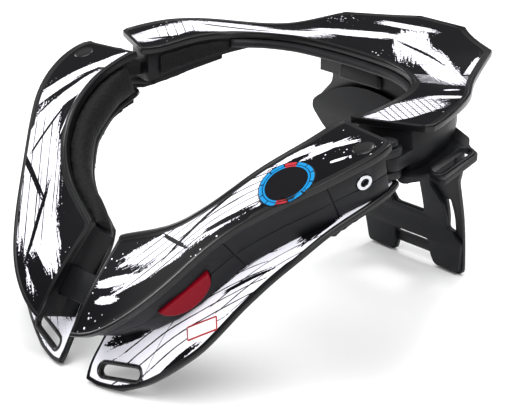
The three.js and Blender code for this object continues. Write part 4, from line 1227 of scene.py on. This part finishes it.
@dataclass
class Latch:
    """The release button and the hidden tongue between the arms."""

    wardrobe: Wardrobe

    def build(self, frame: dict) -> None:
        """Makes the button and the tongue.
        """
        Shell("release_button", "button", "red_plastic", self.wardrobe.red, levels=1, bevel_mm=0.5).build(frame)
        Shell("latch_tongue", "right_arm", "dark_shell", self.wardrobe.shell, levels=0, bevel_mm=0.5).build(frame)


@dataclass
class Studio:
    """Camera at the photograph's viewing angle, pale floor and soft light."""

    azimuth_deg: float = 49.70
    elevation_deg: float = 20.0
    sensor_mm: float = 36.0
    lens_mm: float = 36 * 1690.1 / 506  # the photo is 506 pixels wide, its focal length 1690.1 of them
    stand: Triple = (0.7000, -0.60022, 0.40258)
    floor_drop: float = 0.0003  # keeps the paper clear of the feet
    sun_strength: float = 3.3
    sun_spread_deg: float = 60.0
    sun_aim: Triple = (-0.3, 0.35, -0.88)

    def build(self) -> None:
        """Makes the camera, floor, lights and world."""
        a, e = math.radians(self.azimuth_deg), math.radians(self.elevation_deg)
        back = Vector((math.sin(a) * math.cos(e), -math.cos(a) * math.cos(e), math.sin(e)))
        right = Vector((math.cos(a), math.sin(a), 0.0))
        up = back.cross(right)
        data = bpy.data.cameras.new("camera")
        data.lens = self.lens_mm
        data.sensor_width = self.sensor_mm
        data.clip_start, data.clip_end = 0.01, 50.0
        camera = bpy.data.objects.new("camera", data)
        turn = Matrix((right, up, back)).transposed().to_4x4()
        camera.matrix_world = Matrix.Translation(self.stand) @ turn
        bpy.context.scene.collection.objects.link(camera)
        bpy.context.scene.camera = camera
        self.floor()
        self.light("back_strip", (-0.3, 0.8, 1.5), (0.0, 0.0, 0.1), 0.4, 8.0)
        self.light("front_strip", (1.5, -1.0, 0.5), (0.0, 0.0, 0.08), 0.4, 5.0)
        self.light("side_strip", (-1.5, -0.3, 0.6), (0.0, 0.0, 0.1), 0.4, 6.0)
        sun = bpy.data.lights.new("sky_panel", "SUN")
        sun.energy = self.sun_strength
        sun.angle = math.radians(self.sun_spread_deg)
        lamp = bpy.data.objects.new("sky_panel", sun)
        lamp.rotation_mode = "QUATERNION"
        lamp.rotation_quaternion = Vector(self.sun_aim).to_track_quat("-Z", "Y")
        bpy.context.scene.collection.objects.link(lamp)
        world = bpy.data.worlds.new("white_room")
        world.use_nodes = True
        tree = world.node_tree
        tree.nodes.clear()
        # bright ceiling, dim walls: the black parts stay black and the floor white
        height = add_node(tree, "SeparateXYZ", {0: add_node(tree, "TexCoord").outputs["Generated"]}).outputs[2]
        glow = add_node(
            tree, "MapRange", {"Value": height, "From Min": 0.28, "From Max": 0.62, "To Min": 0.05, "To Max": 0.6}
        )
        sky = add_node(tree, "Background", {"Color": (1.0, 1.0, 1.0, 1.0), "Strength": glow})
        add_node(tree, "OutputWorld", {"Surface": sky})
        bpy.context.scene.world = world
        bpy.context.scene.view_settings.view_transform = "Standard"

    def floor(self) -> None:
        """Lays the paper floor, long enough to fill the view behind the brace."""
        bm = bmesh.new()
        made = [[bm.verts.new((x, y, -self.floor_drop)) for x in (-9.0, 9.0)] for y in (-6.0, 0.0, 6.0, 14.0)]
        for low, high in zip(made, made[1:]):
            bm.faces.new((low[0], low[1], high[1], high[0]))
        floor = new_object("paper_floor", bm)
        floor.rotation_euler.z = math.radians(self.azimuth_deg)
        floor.data.materials.append(StudioFloor("matt_paper").build())

    @staticmethod
    def light(name: str, place: Triple, aim: Triple, size: float, power: float) -> None:
        """Adds one soft square light.

        Args:
            name: light name.
            place: where it stands.
            aim: what it points at.
            size: side of the square in metres.
            power: watts.
        """
        data = bpy.data.lights.new(name, "AREA")
        data.energy = power
        data.size = size
        lamp = bpy.data.objects.new(name, data)
        lamp.location = place
        lamp.rotation_mode = "QUATERNION"
        lamp.rotation_quaternion = (Vector(aim) - Vector(place)).to_track_quat("-Z", "Y")
        bpy.context.scene.collection.objects.link(lamp)


def main() -> None:
    """Builds the sub-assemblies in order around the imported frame."""
    logging.basicConfig(level=logging.INFO, format="%(name)s %(message)s")
    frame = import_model()
    Studio().build()
    wardrobe = Wardrobe()
    RearHalf(wardrobe).build(frame)
    BackSupport(wardrobe).build(frame)
    for side in Side:
        FrontArm(side, wardrobe).build(frame)
    Latch(wardrobe).build(frame)


if __name__ == "__main__":
    main()
